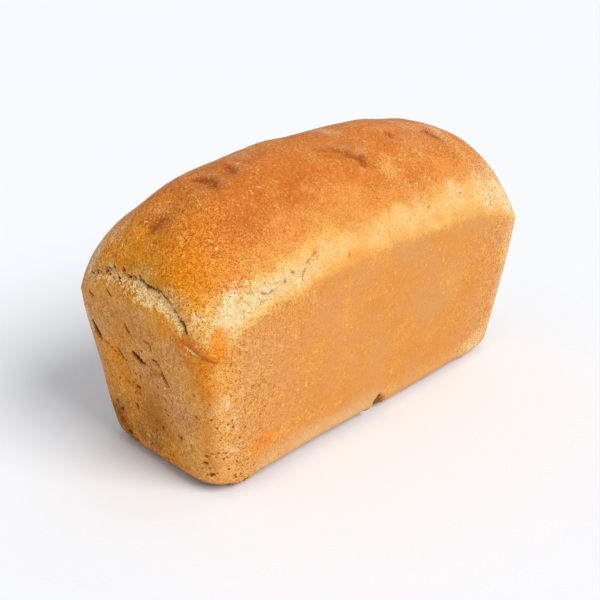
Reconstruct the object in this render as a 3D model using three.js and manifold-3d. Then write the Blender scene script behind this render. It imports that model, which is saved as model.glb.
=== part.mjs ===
// A tin loaf: one white loaf baked in a long, open tin. Its walls and flat underside have the
// tin's shape. Above the tin's rim the dough has risen into a dome, which has torn along one
// crack across each end. Lengths are millimetres, +Z is up, and X runs along the loaf. The
// origin is under the middle of the loaf, on the surface that it stands on.

import * as THREE from 'three';
import { mergeVertices } from 'three/addons/utils/BufferGeometryUtils.js';
import Module from 'manifold-3d';

// ---- driving dimensions ----

// the part that the tin has shaped
const RIM_LENGTH = 220;
const RIM_WIDTH = 95;
const BASE_LENGTH = 199;
const BASE_WIDTH = 79;
const RIM_HEIGHT = 77;
const BASE_ROUND = 8;
const WALL_BOW = 1;

// the dome over the rim
const CROWN_RISE = 53.5;
const RIM_LIFT = 12.2; // how far the rim climbs at the middle of a long side
const CORNER_DROP = 9.2; // how far it falls at a corner

// Exponents of the rounded rectangle |x/a|^along + |y/b|^across = 1: a high one has tight corners.
const RIM_CORNER = { along: 12.4, across: 6.1 };
const CROWN_CORNER = { along: 2.3, across: 3.2 };
// Exponents of the dome's outline (1 - rise^bulge)^(1 / shoulder), over its ends and its sides
const END_OUTLINE = { bulge: 2.54, shoulder: 2.54 };
const SIDE_OUTLINE = { bulge: 1.1, shoulder: 2 };

// The crack is an arch across each end: it falls from its top, which leans off the middle, to
// the reach on either side. The crust over it stands out by the lip, and the torn dough below it
// leans in towards it as a shelf.
const CRACK = { top: 91.3, fall: 14, reach: 35, lean: 1.5, lip: 0.5, shelf: 2, shelfHeight: 9 };
// At two opposite corners the dough has spilled over the tin's rim and hangs as a fold, whose
// edge falls from the end wall's middle to the corner and stands out by the step.
const FOLD = { top: 80.9, fall: 13.4, reach: 42, start: 27, step: 1.3 };
// Blisters on the dome have sunk as they cooled: a hollow, with a low ridge on its inner side.
const BLISTER = { depth: 1, ridge: 0.5 };
// The unevenness of the walls, which the tin has smoothed, and of the dome
const UNEVEN = { wall: 0.15, dome: 0.22 };
const END_ZONE = [88, 102]; // the distance from the middle over which the ends' relief fades in

// Broad swellings and hollows of the dome and the near end, each round a point of the skin
const SWELLS = [
  { x: -71, y: 15, z: 119, radius: 14, height: 1.1 },
  { x: -97, y: 20, z: 107, radius: 11, height: -1.7 },
  { x: -51, y: 8, z: 127, radius: 10, height: -0.6 },
  { x: -29, y: 8, z: 129, radius: 7, height: 0.6 },
  { x: 32, y: 8, z: 129, radius: 9, height: 0.4 },
  { x: 52, y: 2, z: 127, radius: 9, height: -0.7 },
  { x: 64, y: 22, z: 118, radius: 16, height: 0.8 },
  { x: 88, y: -18, z: 113, radius: 14, height: 0.6 },
  { x: 101, y: -36, z: 90, radius: 8, height: -0.4 },
  { x: -107, y: 36, z: 66, radius: 9, height: 0.5 },
  { x: -105, y: 31, z: 36, radius: 11, height: -0.9 },
];

// Stretches of the long bottom edges that stand clear of the floor, on the side of -Y or +Y.
// Each starts and stops over its ramp, rises across the underside and fades out up the wall.
const EDGE_LIFTS = [
  { side: -1, from: -87, to: -2, height: 2.8, ramp: 10 },
  { side: -1, from: -7, to: 5, height: 2.6, ramp: 4 },
  { side: -1, from: -6, to: 76, height: 1.1, ramp: 10 },
  { side: -1, from: -100, to: -88, height: 1, ramp: 4 },
  { side: 1, from: 12, to: 88, height: 1.8, ramp: 10 },
];
const LIFT = { across: [23, 31], top: 22 };
const BASE_INSET = 0.7; // how far out the underside stays flat all round, as a share

// steps of the skin along the loaf, across it and up the walls
const STEPS = { along: 46, across: 24, up: 14 };
const ROUND_STEPS = 3; // how many of the steps up turn round the bottom edge
const CROWD = 0.3; // how much closer the steps lie near the corners
const PROUD = 1.2; // how far a cutter stands out of the skin

const CRUST = { color: 0xd9924f, roughness: 0.85, metalness: 0 };

// ---- small helpers ----

const { abs, sign, sin, cos, hypot, PI } = Math;
const { lerp: mix, smoothstep, clamp } = THREE.MathUtils;
const bell = (distance, width) => Math.exp(-((distance / width) ** 2));

// A repeatable random number source: each call gives the next value from 0 to 1.
function randomSource(seed) {
  let state = seed;
  return () => {
    state = (state + 0x6d2b79f5) | 0;
    let t = Math.imul(state ^ (state >>> 15), 1 | state);
    t = (t + Math.imul(t ^ (t >>> 7), 61 | t)) ^ t;
    return ((t ^ (t >>> 14)) >>> 0) / 4294967296;
  };
}

// ---- the plain form ----

// A point p, q on the outline of the square |p|, |q| <= 1 goes to the rounded rectangle.
function roundedRectangle(p, q, halfLength, halfWidth, corner) {
  if (abs(p) >= abs(q)) {
    const x = sign(p) * (1 - 0.5 * abs(q) ** corner.across) ** (1 / corner.along);
    return [halfLength * x, halfWidth * q * 2 ** (-1 / corner.across)];
  }
  const y = sign(q) * (1 - 0.5 * abs(p) ** corner.along) ** (1 / corner.across);
  return [halfLength * p * 2 ** (-1 / corner.along), halfWidth * y];
}

// The walls lean outwards and bow a little; level goes from 0 at the base to 1 at the rim.
function wallPoint(p, q, level) {
  const roundLevel = ROUND_STEPS / STEPS.up;
  const turn = Math.min(level / roundLevel, 1) * (PI / 2);
  const straight = Math.max(level - roundLevel, 0) / (1 - roundLevel);
  const height = BASE_ROUND * (1 - cos(turn)) + (RIM_HEIGHT - BASE_ROUND) * straight;
  const rise = height / RIM_HEIGHT;
  const out = WALL_BOW * sin(PI * rise) - BASE_ROUND * (1 - sin(turn));
  const halfLength = mix(BASE_LENGTH, RIM_LENGTH, rise) / 2 + out;
  const halfWidth = mix(BASE_WIDTH, RIM_WIDTH, rise) / 2 + out;
  return [...roundedRectangle(p, q, halfLength, halfWidth, RIM_CORNER), height];
}

// The dome closes in rounded rectangles, which turn more oval towards the crown.
function domePoint(p, q) {
  const ring = Math.max(abs(p), abs(q));
  if (ring === 0) return [0, 0, RIM_HEIGHT + CROWN_RISE];
  const rise = sin((1 - ring) * (PI / 2));
  const outline = ({ bulge, shoulder }) => (1 - rise ** bulge) ** (1 / shoulder);
  const halfLength = (RIM_LENGTH / 2) * outline(END_OUTLINE);
  const halfWidth = (RIM_WIDTH / 2) * outline(SIDE_OUTLINE);
  const tight = (1 - rise) ** 2;
  const corner = {
    along: mix(CROWN_CORNER.along, RIM_CORNER.along, tight),
    across: mix(CROWN_CORNER.across, RIM_CORNER.across, tight),
  };
  const [x, y] = roundedRectangle(p / ring, q / ring, halfLength, halfWidth, corner);
  return [x, y, RIM_HEIGHT + CROWN_RISE * rise];
}

// The rim isn't level: it climbs along the sides and falls at the corners, most at the rim
// itself, and not at all at the base and the crown.
function unevenRim([x, y, z]) {
  const along = Math.min(abs(x) / (RIM_LENGTH / 2), 1);
  const across = Math.min(abs(y) / (RIM_WIDTH / 2), 1);
  const overRim = (RIM_HEIGHT + CROWN_RISE - z) / CROWN_RISE;
  const share = z < RIM_HEIGHT ? (z / RIM_HEIGHT) ** 1.5 : overRim ** 0.8;
  const lift = RIM_LIFT * (1 - along ** 3) * across ** 2;
  const drop = CORNER_DROP * along ** 6 * across ** 4;
  return [x, y, z + (lift - drop) * share];
}

// Raises stretches of the long bottom edges
function liftedEdge(x, y, z) {
  let lift = 0;
  for (const { side, from, to, height, ramp } of EDGE_LIFTS) {
    const start = smoothstep(x, from, from + ramp);
    const stop = smoothstep(x, to - ramp, to);
    lift += height * start * (1 - stop) * smoothstep(side * y, ...LIFT.across);
  }
  return lift * Math.max(1 - z / LIFT.top, 0) ** 2;
}

// ---- relief ----

// Both ends are alike when turned, so across is y on the far end and -y on the near one.
const crackHeight = (across) =>
  CRACK.top - CRACK.fall * abs((across + CRACK.lean) / CRACK.reach) ** 3;
const foldHeight = (across) => FOLD.top - FOLD.fall * (across / FOLD.reach) ** 2;
const nearEnd = (x) => smoothstep(abs(x), ...END_ZONE);

function crackRelief(x, y, z) {
  const share = nearEnd(x) * (1 - smoothstep(abs(y), 0.8 * CRACK.reach, 1.15 * CRACK.reach));
  const over = z - crackHeight(y * sign(x));
  const shelf = CRACK.shelf * clamp(1 + over / CRACK.shelfHeight, 0, 1) ** 1.3;
  const lip = CRACK.lip * bell(over - 3, 5) - 0.6 * shelf * bell(over, 6);
  return share * mix(-shelf, lip, smoothstep(over, -0.8, 0.8));
}

function foldRelief(x, y, z) {
  const across = y * sign(x); // the two corners that have a fold have this above its start
  const share = nearEnd(x) * smoothstep(across, FOLD.start - 3, FOLD.start + 3);
  const over = z - foldHeight(across);
  return share * FOLD.step * smoothstep(over, -0.6, 1.6) * bell(Math.max(over - 2, 0), 7);
}

const BLISTERS = [
  { x: -94, y: -1, length: 9, width: 6, turn: 0.2 },
  { x: -72, y: -4, length: 11, width: 4.5, turn: 1.5 },
  { x: -59, y: -5, length: 6, width: 4, turn: 0.3 },
  { x: -72, y: -28, length: 12, width: 8, turn: 0.1 },
  { x: -3, y: -16, length: 14, width: 4.5, turn: -0.6 },
  { x: 32, y: -14, length: 7, width: 4, turn: -0.2 },
  { x: 62, y: -16, length: 10, width: 4.5, turn: -0.4 },
  { x: 84, y: 9, length: 9, width: 6, turn: 0.5 },
  { x: 41, y: 21, length: 12, width: 5, turn: 0.3 },
  { x: -34, y: 24, length: 10, width: 5, turn: -0.2 },
  { x: -78, y: 30, length: 9, width: 6, turn: 0.9 },
];

function blisterRelief(x, y, z) {
  if (z < RIM_HEIGHT + CROWN_RISE / 3) return 0; // blisters lie on the dome only
  let height = 0;
  for (const blister of BLISTERS) {
    const dx = x - blister.x;
    const dy = y - blister.y;
    const along = dx * cos(blister.turn) + dy * sin(blister.turn);
    const across = dy * cos(blister.turn) - dx * sin(blister.turn);
    const length = bell(along, blister.length);
    height -= BLISTER.depth * length * bell(across, blister.width);
    height += BLISTER.ridge * length * bell(across - 1.5 * blister.width, blister.width);
  }
  return height;
}

function undulation(x, y, z) {
  const long = sin(x / 17 + 1.3) * sin(z / 14 + 0.7) + sin(x / 9.3 + z / 11 + y / 13);
  const short = sin(y / 8.5 - z / 10 + 2) * cos(x / 11 + 0.4);
  const height = mix(UNEVEN.wall, UNEVEN.dome, smoothstep(z, RIM_HEIGHT, RIM_HEIGHT + 28));
  return height * (long + short) * smoothstep(z, 0, BASE_ROUND);
}

function swellRelief(x, y, z) {
  let height = 0;
  for (const swell of SWELLS) {
    height += swell.height * bell(hypot(x - swell.x, y - swell.y, z - swell.z), swell.radius);
  }
  return height;
}

const RELIEFS = [undulation, crackRelief, foldRelief, blisterRelief, swellRelief];
const relief = (x, y, z) => RELIEFS.reduce((height, each) => height + each(x, y, z), 0);

// ---- the skin: a box bent into the plain form, moved out and in by the relief ----

function skin() {
  const { along, across, up } = STEPS;
  const box = new THREE.BoxGeometry(2, 2, 2, along, across, up);
  const underside = box.groups[5];
  const position = box.getAttribute('position');
  const crowd = (t) => t * (1 + CROWD * (1 - t * t));
  for (let i = 0; i < position.count; i++) {
    const p = crowd(position.getX(i));
    const q = crowd(position.getY(i));
    const r = position.getZ(i);
    const onWall = abs(p) === 1 || abs(q) === 1;
    const plain = onWall ? wallPoint(p, q, (r + 1) / 2) : domePoint(p, q);
    position.setXYZ(i, ...unevenRim(plain));
  }
  // the walls and the dome, without the box's own underside
  mitre(box, box.groups[4], along);
  box.setIndex([...box.index.array.slice(0, underside.start)]);
  box.deleteAttribute('normal');
  box.deleteAttribute('uv');
  box.clearGroups();
  return withRelief(withLiftedEdge(withFlatBase(mergeVertices(box, 1e-3))));
}

// Each square of the dome is split along the mitre line that runs from the crown to its corner.
// The box splits all of them along one diagonal, so those of two quarters are turned.
function mitre(box, dome, along) {
  const across = dome.count / 6 / along;
  for (let square = 0; square < dome.count / 6; square++) {
    const right = (square % along) + 0.5 > along / 2;
    const front = Math.floor(square / along) + 0.5 > across / 2;
    if (right !== front) continue;
    const start = dome.start + square * 6;
    const [a, b, d, , c] = box.index.array.slice(start, start + 6);
    box.index.array.set([a, b, c, a, c, d], start);
  }
}

// The rim of the open underside is joined to a smaller ring inside it, which a flat fan round
// the origin closes.
function withFlatBase(open) {
  const position = open.getAttribute('position');
  const index = [...open.index.array];
  const points = [...position.array];
  const inner = new Map(); // the inner ring's vertex for each vertex of the rim
  for (let vertex = 0; vertex < position.count; vertex++) {
    if (position.getZ(vertex) > 0) continue;
    inner.set(vertex, points.length / 3);
    points.push(BASE_INSET * position.getX(vertex), BASE_INSET * position.getY(vertex), 0);
  }
  const centre = points.length / 3;
  points.push(0, 0, 0);
  for (let i = 0; i < open.index.count; i += 3) {
    const [a, b, c] = index.slice(i, i + 3);
    for (const [from, to] of [[a, b], [b, c], [c, a]]) {
      if (!inner.has(from) || !inner.has(to)) continue;
      index.push(to, from, inner.get(from));
      index.push(to, inner.get(from), inner.get(to));
      index.push(inner.get(to), inner.get(from), centre);
    }
  }
  const closed = new THREE.BufferGeometry();
  closed.setAttribute('position', new THREE.Float32BufferAttribute(points, 3));
  closed.setIndex(index);
  return closed;
}

function withLiftedEdge(geometry) {
  const position = geometry.getAttribute('position');
  for (let i = 0; i < position.count; i++) {
    const [x, y, z] = [position.getX(i), position.getY(i), position.getZ(i)];
    position.setZ(i, z + liftedEdge(x, y, z));
  }
  return geometry;
}

function withRelief(geometry) {
  geometry.computeVertexNormals();
  const position = geometry.getAttribute('position');
  const normal = geometry.getAttribute('normal');
  for (let i = 0; i < position.count; i++) {
    const point = new THREE.Vector3().fromBufferAttribute(position, i);
    if (point.z === 0) continue;
    const outward = new THREE.Vector3().fromBufferAttribute(normal, i);
    point.addScaledVector(outward, relief(point.x, point.y, point.z));
    position.setXYZ(i, point.x, point.y, point.z);
  }
  geometry.deleteAttribute('normal');
  geometry.computeBoundingBox();
  const { min, max } = geometry.boundingBox;
  return geometry.translate(-(min.x + max.x) / 2, -(min.y + max.y) / 2, 0);
}

// ---- cutters ----

// The skin's point and outward normal where a line from outside first meets it
function skinSeeker(geometry) {
  const body = new THREE.Mesh(geometry);
  const caster = new THREE.Raycaster();
  return (from, direction) => {
    caster.set(from, direction);
    const hit = caster.intersectObject(body)[0];
    return { point: hit.point, normal: hit.face.normal };
  };
}

// A wedge along stations on the skin: a wide mouth outside, and a sharp bottom edge inside.
function wedge(stations) {
  const points = [];
  stations.forEach(({ point, normal, mouth, depth }, i) => {
    const before = stations[Math.max(i - 1, 0)].point;
    const after = stations[Math.min(i + 1, stations.length - 1)].point;
    const along = after.clone().sub(before);
    const across = normal.clone().cross(along).normalize();
    const halfMouth = (mouth / 2) * (1 + PROUD / depth);
    const outside = point.clone().addScaledVector(normal, PROUD);
    points.push(outside.clone().addScaledVector(across, halfMouth));
    points.push(outside.clone().addScaledVector(across, -halfMouth));
    points.push(point.clone().addScaledVector(normal, -depth));
  });
  const last = points.length - 3;
  const index = [0, 2, 1, last, last + 1, last + 2];
  for (let start = 0; start < last; start += 3) {
    for (let k = 0; k < 3; k++) {
      const next = (k + 1) % 3;
      index.push(start + k, start + next, start + 3 + next);
      index.push(start + k, start + 3 + next, start + 3 + k);
    }
  }
  const geometry = new THREE.BufferGeometry().setFromPoints(points);
  geometry.setIndex(index);
  return geometry;
}

// A pit: a few-sided ball, flattened to its length, width and depth, sunk in the skin
function pit({ point, normal }, length, width, depth, turn, detail = 0) {
  const ball = new THREE.IcosahedronGeometry(1, detail);
  ball.deleteAttribute('normal');
  ball.deleteAttribute('uv');
  const geometry = mergeVertices(ball, 1e-3);
  const outward = new THREE.Quaternion().setFromUnitVectors(new THREE.Vector3(0, 0, 1), normal);
  geometry.scale(length / 2, width / 2, depth);
  geometry.rotateZ(turn);
  geometry.applyQuaternion(outward);
  return geometry.translate(point.x, point.y, point.z);
}

// Places on the loaf: a point y, z on an end wall, or x, z on a long wall; side is -1 or 1.
function places(seek) {
  const far = RIM_LENGTH;
  return {
    onEnd: (side, y, z) =>
      seek(new THREE.Vector3(side * far, y, z), new THREE.Vector3(-side, 0, 0)),
    onSide: (side, x, z) =>
      seek(new THREE.Vector3(x, side * far, z), new THREE.Vector3(0, -side, 0)),
  };
}

// The open crack: a ragged wedge under the crust's lip, from one y to another
function crackCutter(place, { side, from, to, mouth, depth, seed }) {
  const random = randomSource(seed);
  const steps = Math.round(abs(to - from) / 1.6);
  const stations = [];
  for (let i = 0; i <= steps; i++) {
    const t = i / steps;
    const y = mix(from, to, t);
    const full = sin(PI * mix(0.08, 0.92, t)) ** 0.6;
    const z = crackHeight(y * side) + 0.9 * (random() - 0.5);
    const ragged = mix(0.6, 1.2, random());
    stations.push({
      ...place.onEnd(side, y, z),
      mouth: mouth * full * ragged,
      depth: depth * full,
    });
  }
  return wedge(stations);
}

// A slit: a curved wedge between two points of an end wall, bent sideways by its sag
function slitCutter(place, side, { from, to, sag, mouth, depth }) {
  const steps = Math.max(4, Math.round(hypot(to[0] - from[0], to[1] - from[1]) / 2));
  const length = hypot(to[0] - from[0], to[1] - from[1]);
  const bend = [(from[1] - to[1]) / length, (to[0] - from[0]) / length];
  const stations = [];
  for (let i = 0; i <= steps; i++) {
    const t = i / steps;
    const full = sin(PI * mix(0.1, 0.9, t));
    const y = mix(from[0], to[0], t) + bend[0] * sag * sin(PI * t);
    const z = mix(from[1], to[1], t) + bend[1] * sag * sin(PI * t);
    stations.push({ ...place.onEnd(side, y, z), mouth: mouth * full, depth: depth * full });
  }
  return wedge(stations);
}

// Tears in the end walls, as y, z pairs on the wall
const SLITS = [
  { from: [31, 62.5], to: [25.5, 56], sag: 0.5, mouth: 4.4, depth: 4 },
  { from: [15, 55.5], to: [8.5, 50], sag: 0.3, mouth: 1.1, depth: 1.8 },
  { from: [4.5, 57.5], to: [-3.5, 53.5], sag: 0.5, mouth: 2, depth: 3 },
  { from: [-8, 57.5], to: [-17.5, 48], sag: 2.6, mouth: 1.3, depth: 2 },
  { from: [6.5, 70], to: [3, 65], sag: 0.3, mouth: 1.3, depth: 2 },
  { from: [16.5, 82], to: [12.5, 79.5], sag: 0.2, mouth: 1, depth: 1.8 },
  { from: [8, 40.5], to: [2.5, 39], sag: 0.4, mouth: 1.2, depth: 1.8 },
  { from: [-3.5, 65], to: [-9.5, 62.5], sag: 1, mouth: 0.9, depth: 1.2 },
  { from: [30.5, 77.5], to: [25, 75.5], sag: 0.4, mouth: 1.8, depth: 1.2 },
];

function slitCutters(place) {
  const nearEnd = SLITS.map((slit) => slitCutter(place, -1, slit));
  // the other end has fewer, on the other half of its wall
  const turned = ([y, z]) => [4 - y, z - 6];
  const farEnd = SLITS.filter((slit, i) => i % 2 === 0).map((slit) =>
    slitCutter(place, 1, { ...slit, from: turned(slit.from), to: turned(slit.to) })
  );
  return [...nearEnd, ...farEnd];
}

// Where the crack isn't open it is a row of torn pits.
function tornPits(place, side, from, to, seed) {
  const random = randomSource(seed);
  const cutters = [];
  for (let y = from; y < to; y += mix(2.6, 5.5, random())) {
    const z = crackHeight(y * side) + 3.4 * (random() - 0.5);
    const width = mix(1.3, 3.2, random());
    const length = width * mix(1, 1.6, random());
    const skinPoint = place.onEnd(side, y, z);
    cutters.push(pit(skinPoint, length, width, mix(1.6, 2.8, random()), 3 * random()));
  }
  return cutters;
}

// Pores where the dough has left the tin: over the lower end walls and round the corners
function porePits(place) {
  const random = randomSource(11);
  const cutters = [];
  const add = (skinPoint) => {
    const width = mix(1.1, 2.2, random() ** 2);
    cutters.push(pit(skinPoint, width * mix(1, 1.7, random()), width, width * 0.7, 3 * random()));
  };
  for (const side of [-1, 1]) {
    for (let i = 0; i < 12; i++) add(place.onEnd(side, mix(-32, 32, random()), mix(12, 44, random())));
    for (let i = 0; i < 5; i++) {
      add(place.onSide(side, side * mix(68, 94, random()), mix(12, 42, random())));
    }
    for (let i = 0; i < 3; i++) {
      add(place.onSide(side, -side * mix(40, 92, random()), mix(10, 36, random())));
    }
  }
  return cutters;
}

// The bottom edge is chipped where the loaf stuck to its tin, and dented at one corner.
function baseCutters(place) {
  const nearNotches = [-86, -93].map((x) => pit(place.onSide(-1, x, 3.5), 5, 3.3, 2.4, 0.3));
  const farNotches = [38, 71].map((x) => pit(place.onSide(1, x, 6), 5.5, 3.4, 2.2, -0.4));
  return [
    ...nearNotches,
    ...farNotches,
    pit(place.onSide(-1, -1.5, 6.5), 10, 6, 3.4, 0.2, 1),
    pit(place.onSide(-1, -3, 9), 6.6, 4.4, 3.4, 0.3),
    pit(place.onEnd(-1, 25, 16), 17, 7.5, 2.4, 0.7, 1),
    pit(place.onEnd(-1, 16.5, 4.5), 7, 5, 2.6, 0.4, 1),
    pit(place.onEnd(1, -19, 6), 9, 5, 2, 0.8, 1),
  ];
}

// ---- the loaf ----

const wasm = await Module();
wasm.setup();

function toSolid(geometry) {
  const vertProperties = new Float32Array(geometry.getAttribute('position').array);
  const triVerts = new Uint32Array(geometry.index.array);
  return new wasm.Manifold(new wasm.Mesh({ numProp: 3, vertProperties, triVerts }));
}

function toGeometry(solid) {
  const { vertProperties, triVerts } = solid.getMesh();
  const geometry = new THREE.BufferGeometry();
  geometry.setAttribute('position', new THREE.Float32BufferAttribute(vertProperties, 3));
  geometry.setIndex([...triVerts]);
  geometry.computeVertexNormals();
  return geometry;
}

function loafGeometry() {
  const whole = skin();
  const place = places(skinSeeker(whole));
  const cutters = [
    crackCutter(place, { side: -1, from: -33.5, to: -7, mouth: 1.8, depth: 3, seed: 3 }),
    crackCutter(place, { side: 1, from: 8, to: 32.5, mouth: 1.8, depth: 3, seed: 5 }),
    ...tornPits(place, -1, -2.5, 30, 7),
    ...tornPits(place, 1, -30, 6, 9),
    ...slitCutters(place),
    ...porePits(place),
    ...baseCutters(place),
  ];
  const cut = cutters.map(toSolid).reduce((all, cutter) => all.add(cutter));
  return toGeometry(toSolid(whole).subtract(cut));
}

const crust = new THREE.MeshStandardMaterial(CRUST);
const loaf = new THREE.Mesh(loafGeometry(), crust);
loaf.name = 'loaf';

const tinLoaf = new THREE.Group();
tinLoaf.add(loaf);

export default tinLoaf;
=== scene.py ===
"""A whole tin loaf with its baked crust, standing in a plain studio.

The loaf is one closed surface. Its walls and flat underside have the tin's shape. Over the tin's
rim the dough has risen into a dome, which has torn along one crack across each end, and the
dough that it stretched along the sides has stayed pale.
"""

from types import SimpleNamespace

import bpy
import numpy as np
from bpy.props import FloatProperty, FloatVectorProperty, PointerProperty
from mathutils import Matrix, Vector


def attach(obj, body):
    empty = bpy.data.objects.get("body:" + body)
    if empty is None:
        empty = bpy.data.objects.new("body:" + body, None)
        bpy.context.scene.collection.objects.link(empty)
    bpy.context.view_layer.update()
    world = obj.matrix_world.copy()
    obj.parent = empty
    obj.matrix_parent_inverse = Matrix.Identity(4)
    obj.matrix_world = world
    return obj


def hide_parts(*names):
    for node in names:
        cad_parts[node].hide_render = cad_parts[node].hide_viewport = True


bl_info = {
    "name": "Tin Loaf",
    "version": (1, 0, 0),
    "blender": (4, 5, 0),
    "location": "3D View > Sidebar > Tin Loaf",
    "description": "Builds a whole tin loaf with its baked crust, and a plain studio round it",
    "category": "Add Mesh",
}

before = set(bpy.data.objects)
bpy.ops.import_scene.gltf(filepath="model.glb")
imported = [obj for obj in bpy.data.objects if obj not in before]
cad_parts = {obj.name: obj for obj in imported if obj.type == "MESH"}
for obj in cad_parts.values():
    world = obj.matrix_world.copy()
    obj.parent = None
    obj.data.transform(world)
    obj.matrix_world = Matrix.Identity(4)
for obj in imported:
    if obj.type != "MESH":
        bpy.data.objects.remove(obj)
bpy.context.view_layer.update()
MM = 1000.0  # millimetres in a metre: the loaf is worked out in millimetres

# The skin's steps along the loaf, across it, up the walls, up the bottom edge's round (of those
# up the walls) and inwards over the underside
ALONG, ACROSS, UP, ROUND, INWARDS = 236, 150, 72, 8, 6
CROWD_ALONG, CROWD_ACROSS, CROWD_UP = 0.3, 0.18, 0.35  # how much closer they lie at the corners

# Exponents of the rounded rectangle |x/a|^along + |y/b|^across = 1: a high one has tight corners
RIM_CORNER = (12.4, 6.1)
CROWN_CORNER = (2.3, 3.2)
# Exponents of the dome's outline (1 - rise^bulge)^(1 / shoulder), over its ends and its sides
END_OUTLINE = (2.54, 2.54)
SIDE_OUTLINE = (1.1, 2.0)

END_ZONE = (88, 102)  # distance from the middle over which the ends' relief fades in
# The crust's lip over the crack, and the shelf of torn dough that leans in to it from below
LIP, SHELF = 0.5, 2.0
CRACK_LEAN = 1.5  # how far the cracks' highest point lies from the middle
# Where a crack leaves its arch: across, width, height
CRACK_JOGS = [(10, 3.5, -0.5), (17, 4, 0.6)]
NEAR_OPENING, FAR_OPENING = (-33.4, -7), (33.2, 7)  # the y between which a crack is open
OFF_CRACK = 99.0  # the height over a crack that is given to points of neither end
LINE_RANGE = 20  # how far from a crack or a fold the finish can tell the height over it
# The dough spilled over the rim at two opposite corners: a fold whose edge falls to the corner,
# from its start across the end to its stop at the corner
FOLD = SimpleNamespace(top=80.9, fall=13.4, reach=42, start=27, stop=41, step=1.3)
UNEVEN_WALL, UNEVEN_DOME = 0.15, 0.22  # height of the slow undulation
# Where the cuts lie: an end's and a long side's beyond these distances from the middle, a long
# side's pits below the first height and its pale band's cracks above the second
END_FROM, SIDE_FROM, PITS_TO, BAND_FROM = 60, 30, 60, 80

# Blisters that sank as they cooled: place x, y, length, width and turn
BLISTERS = [
    (-94, -1, 9, 6, 0.2), (-72, -4, 11, 4.5, 1.5), (-59, -5, 6, 4, 0.3), (-72, -28, 12, 8, 0.1),
    (-3, -16, 14, 4.5, -0.6), (32, -14, 7, 4, -0.2), (62, -16, 10, 4.5, -0.4), (84, 9, 9, 6, 0.5),
    (41, 21, 12, 5, 0.3), (-34, 24, 10, 5, -0.2), (-78, 30, 9, 6, 0.9),
]
BLISTER_RIDGE = 0.5  # height of the ridge beside a blister, for 1 of depth

# Broad swellings and hollows of the dome and the near end: place x, y, z, radius, height
SWELLS = [
    (-71, 15, 119, 14, 1.1), (-97, 20, 107, 11, -1.7), (-51, 8, 127, 10, -0.6),
    (-29, 8, 129, 7, 0.6), (32, 8, 129, 9, 0.4), (52, 2, 127, 9, -0.7), (64, 22, 118, 16, 0.8),
    (88, -18, 113, 14, 0.6), (101, -36, 90, 8, -0.4), (-107, 36, 66, 9, 0.5),
    (-105, 31, 36, 11, -0.9),
]
# Stretches of the long bottom edges that stand clear of the floor: side, from x, to x, height
# and the ramp at both ends
EDGE_LIFTS = [
    (-1, -87, -2, 2.8, 10), (-1, -7, 5, 2.6, 4), (-1, -6, 76, 1.1, 10), (-1, -100, -88, 1, 4),
    (1, 12, 88, 1.8, 10),
]
# The lift grows between these distances across the underside, and ends this high up the wall
LIFT = SimpleNamespace(across=(23, 31), top=22)

# Wrinkles of sunken blisters on the dome, as strokes: x, y at both ends, bow, width, depth.
# The crust is drawn in along the stroke, and stands up on its left.
WRINKLES = [
    (-73.6, 5.2, -72.2, -11, 3.4, 1.3, 1.2), (-98, 3, -91, -4, 0.8, 2.4, 0.7),
    (-57.6, 3.4, -59.6, -8.8, 0.6, 1.4, 0.9), (-10.5, -12.5, -6.5, -15, 0.4, 1.3, 0.8),
    (-4.5, -15.5, 0, -18.5, 0.6, 1.4, 0.9), (0, -19.5, 4.5, -23.5, 0.8, 2, 1.2),
    (-21, -12, -12, -17, 1.2, 2.2, 0.5), (27, -11, 36, -16, 1.3, 1.3, 0.6),
    (38, -13, 43, -16, 0.6, 1, 0.4), (56, -12, 68, -19, 1.8, 2.1, 0.9),
    (44, 18, 36, 27, 1.5, 1.9, 0.8), (-30, 20, -38, 29, 1.6, 1.8, 0.8),
    (88, 5, 81, 13, 1.2, 2, 0.7),
]

# Tears in an end wall, as strokes: y, z at both ends, bow, mouth, depth
SLITS = [
    (30.8, 62.4, 25.6, 55.9, 0.5, 4.6, 4), (15, 55.6, 8.7, 50.1, 0.3, 1.3, 1.5),
    (4.6, 57.4, -3.5, 53.3, 0.5, 2.3, 3), (-8, 57.7, -13.6, 55.6, -0.8, 1.3, 1.6),
    (-13.4, 56, -17.6, 48, 0.9, 1.4, 1.9), (6.6, 70, 3, 65, 0.3, 1.6, 2),
    (16.4, 82.2, 12.6, 79.4, 0.2, 1.4, 1.7), (8, 40.6, 2.5, 39.3, 0.4, 1.5, 1.6),
    (-3.7, 65.2, -8.9, 64.8, -0.3, 1, 0.9), (-8.7, 65, -9.6, 61.7, 0.2, 1, 0.9),
    (30.5, 77.6, 24.8, 75.4, 0.4, 2.2, 1), (25, 55, 12, 50.5, -0.8, 1.2, 0.9),
    (17, 44, 6, 37, 0.6, 1.1, 0.8), (-29.8, 82.4, -32.6, 78.6, 0, 1.8, 2),
    (18.6, 7.6, 21.2, 12.4, -0.4, 1.5, 1), (21, 12, 28, 20, 0.5, 1.3, 0.9),
]

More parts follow.
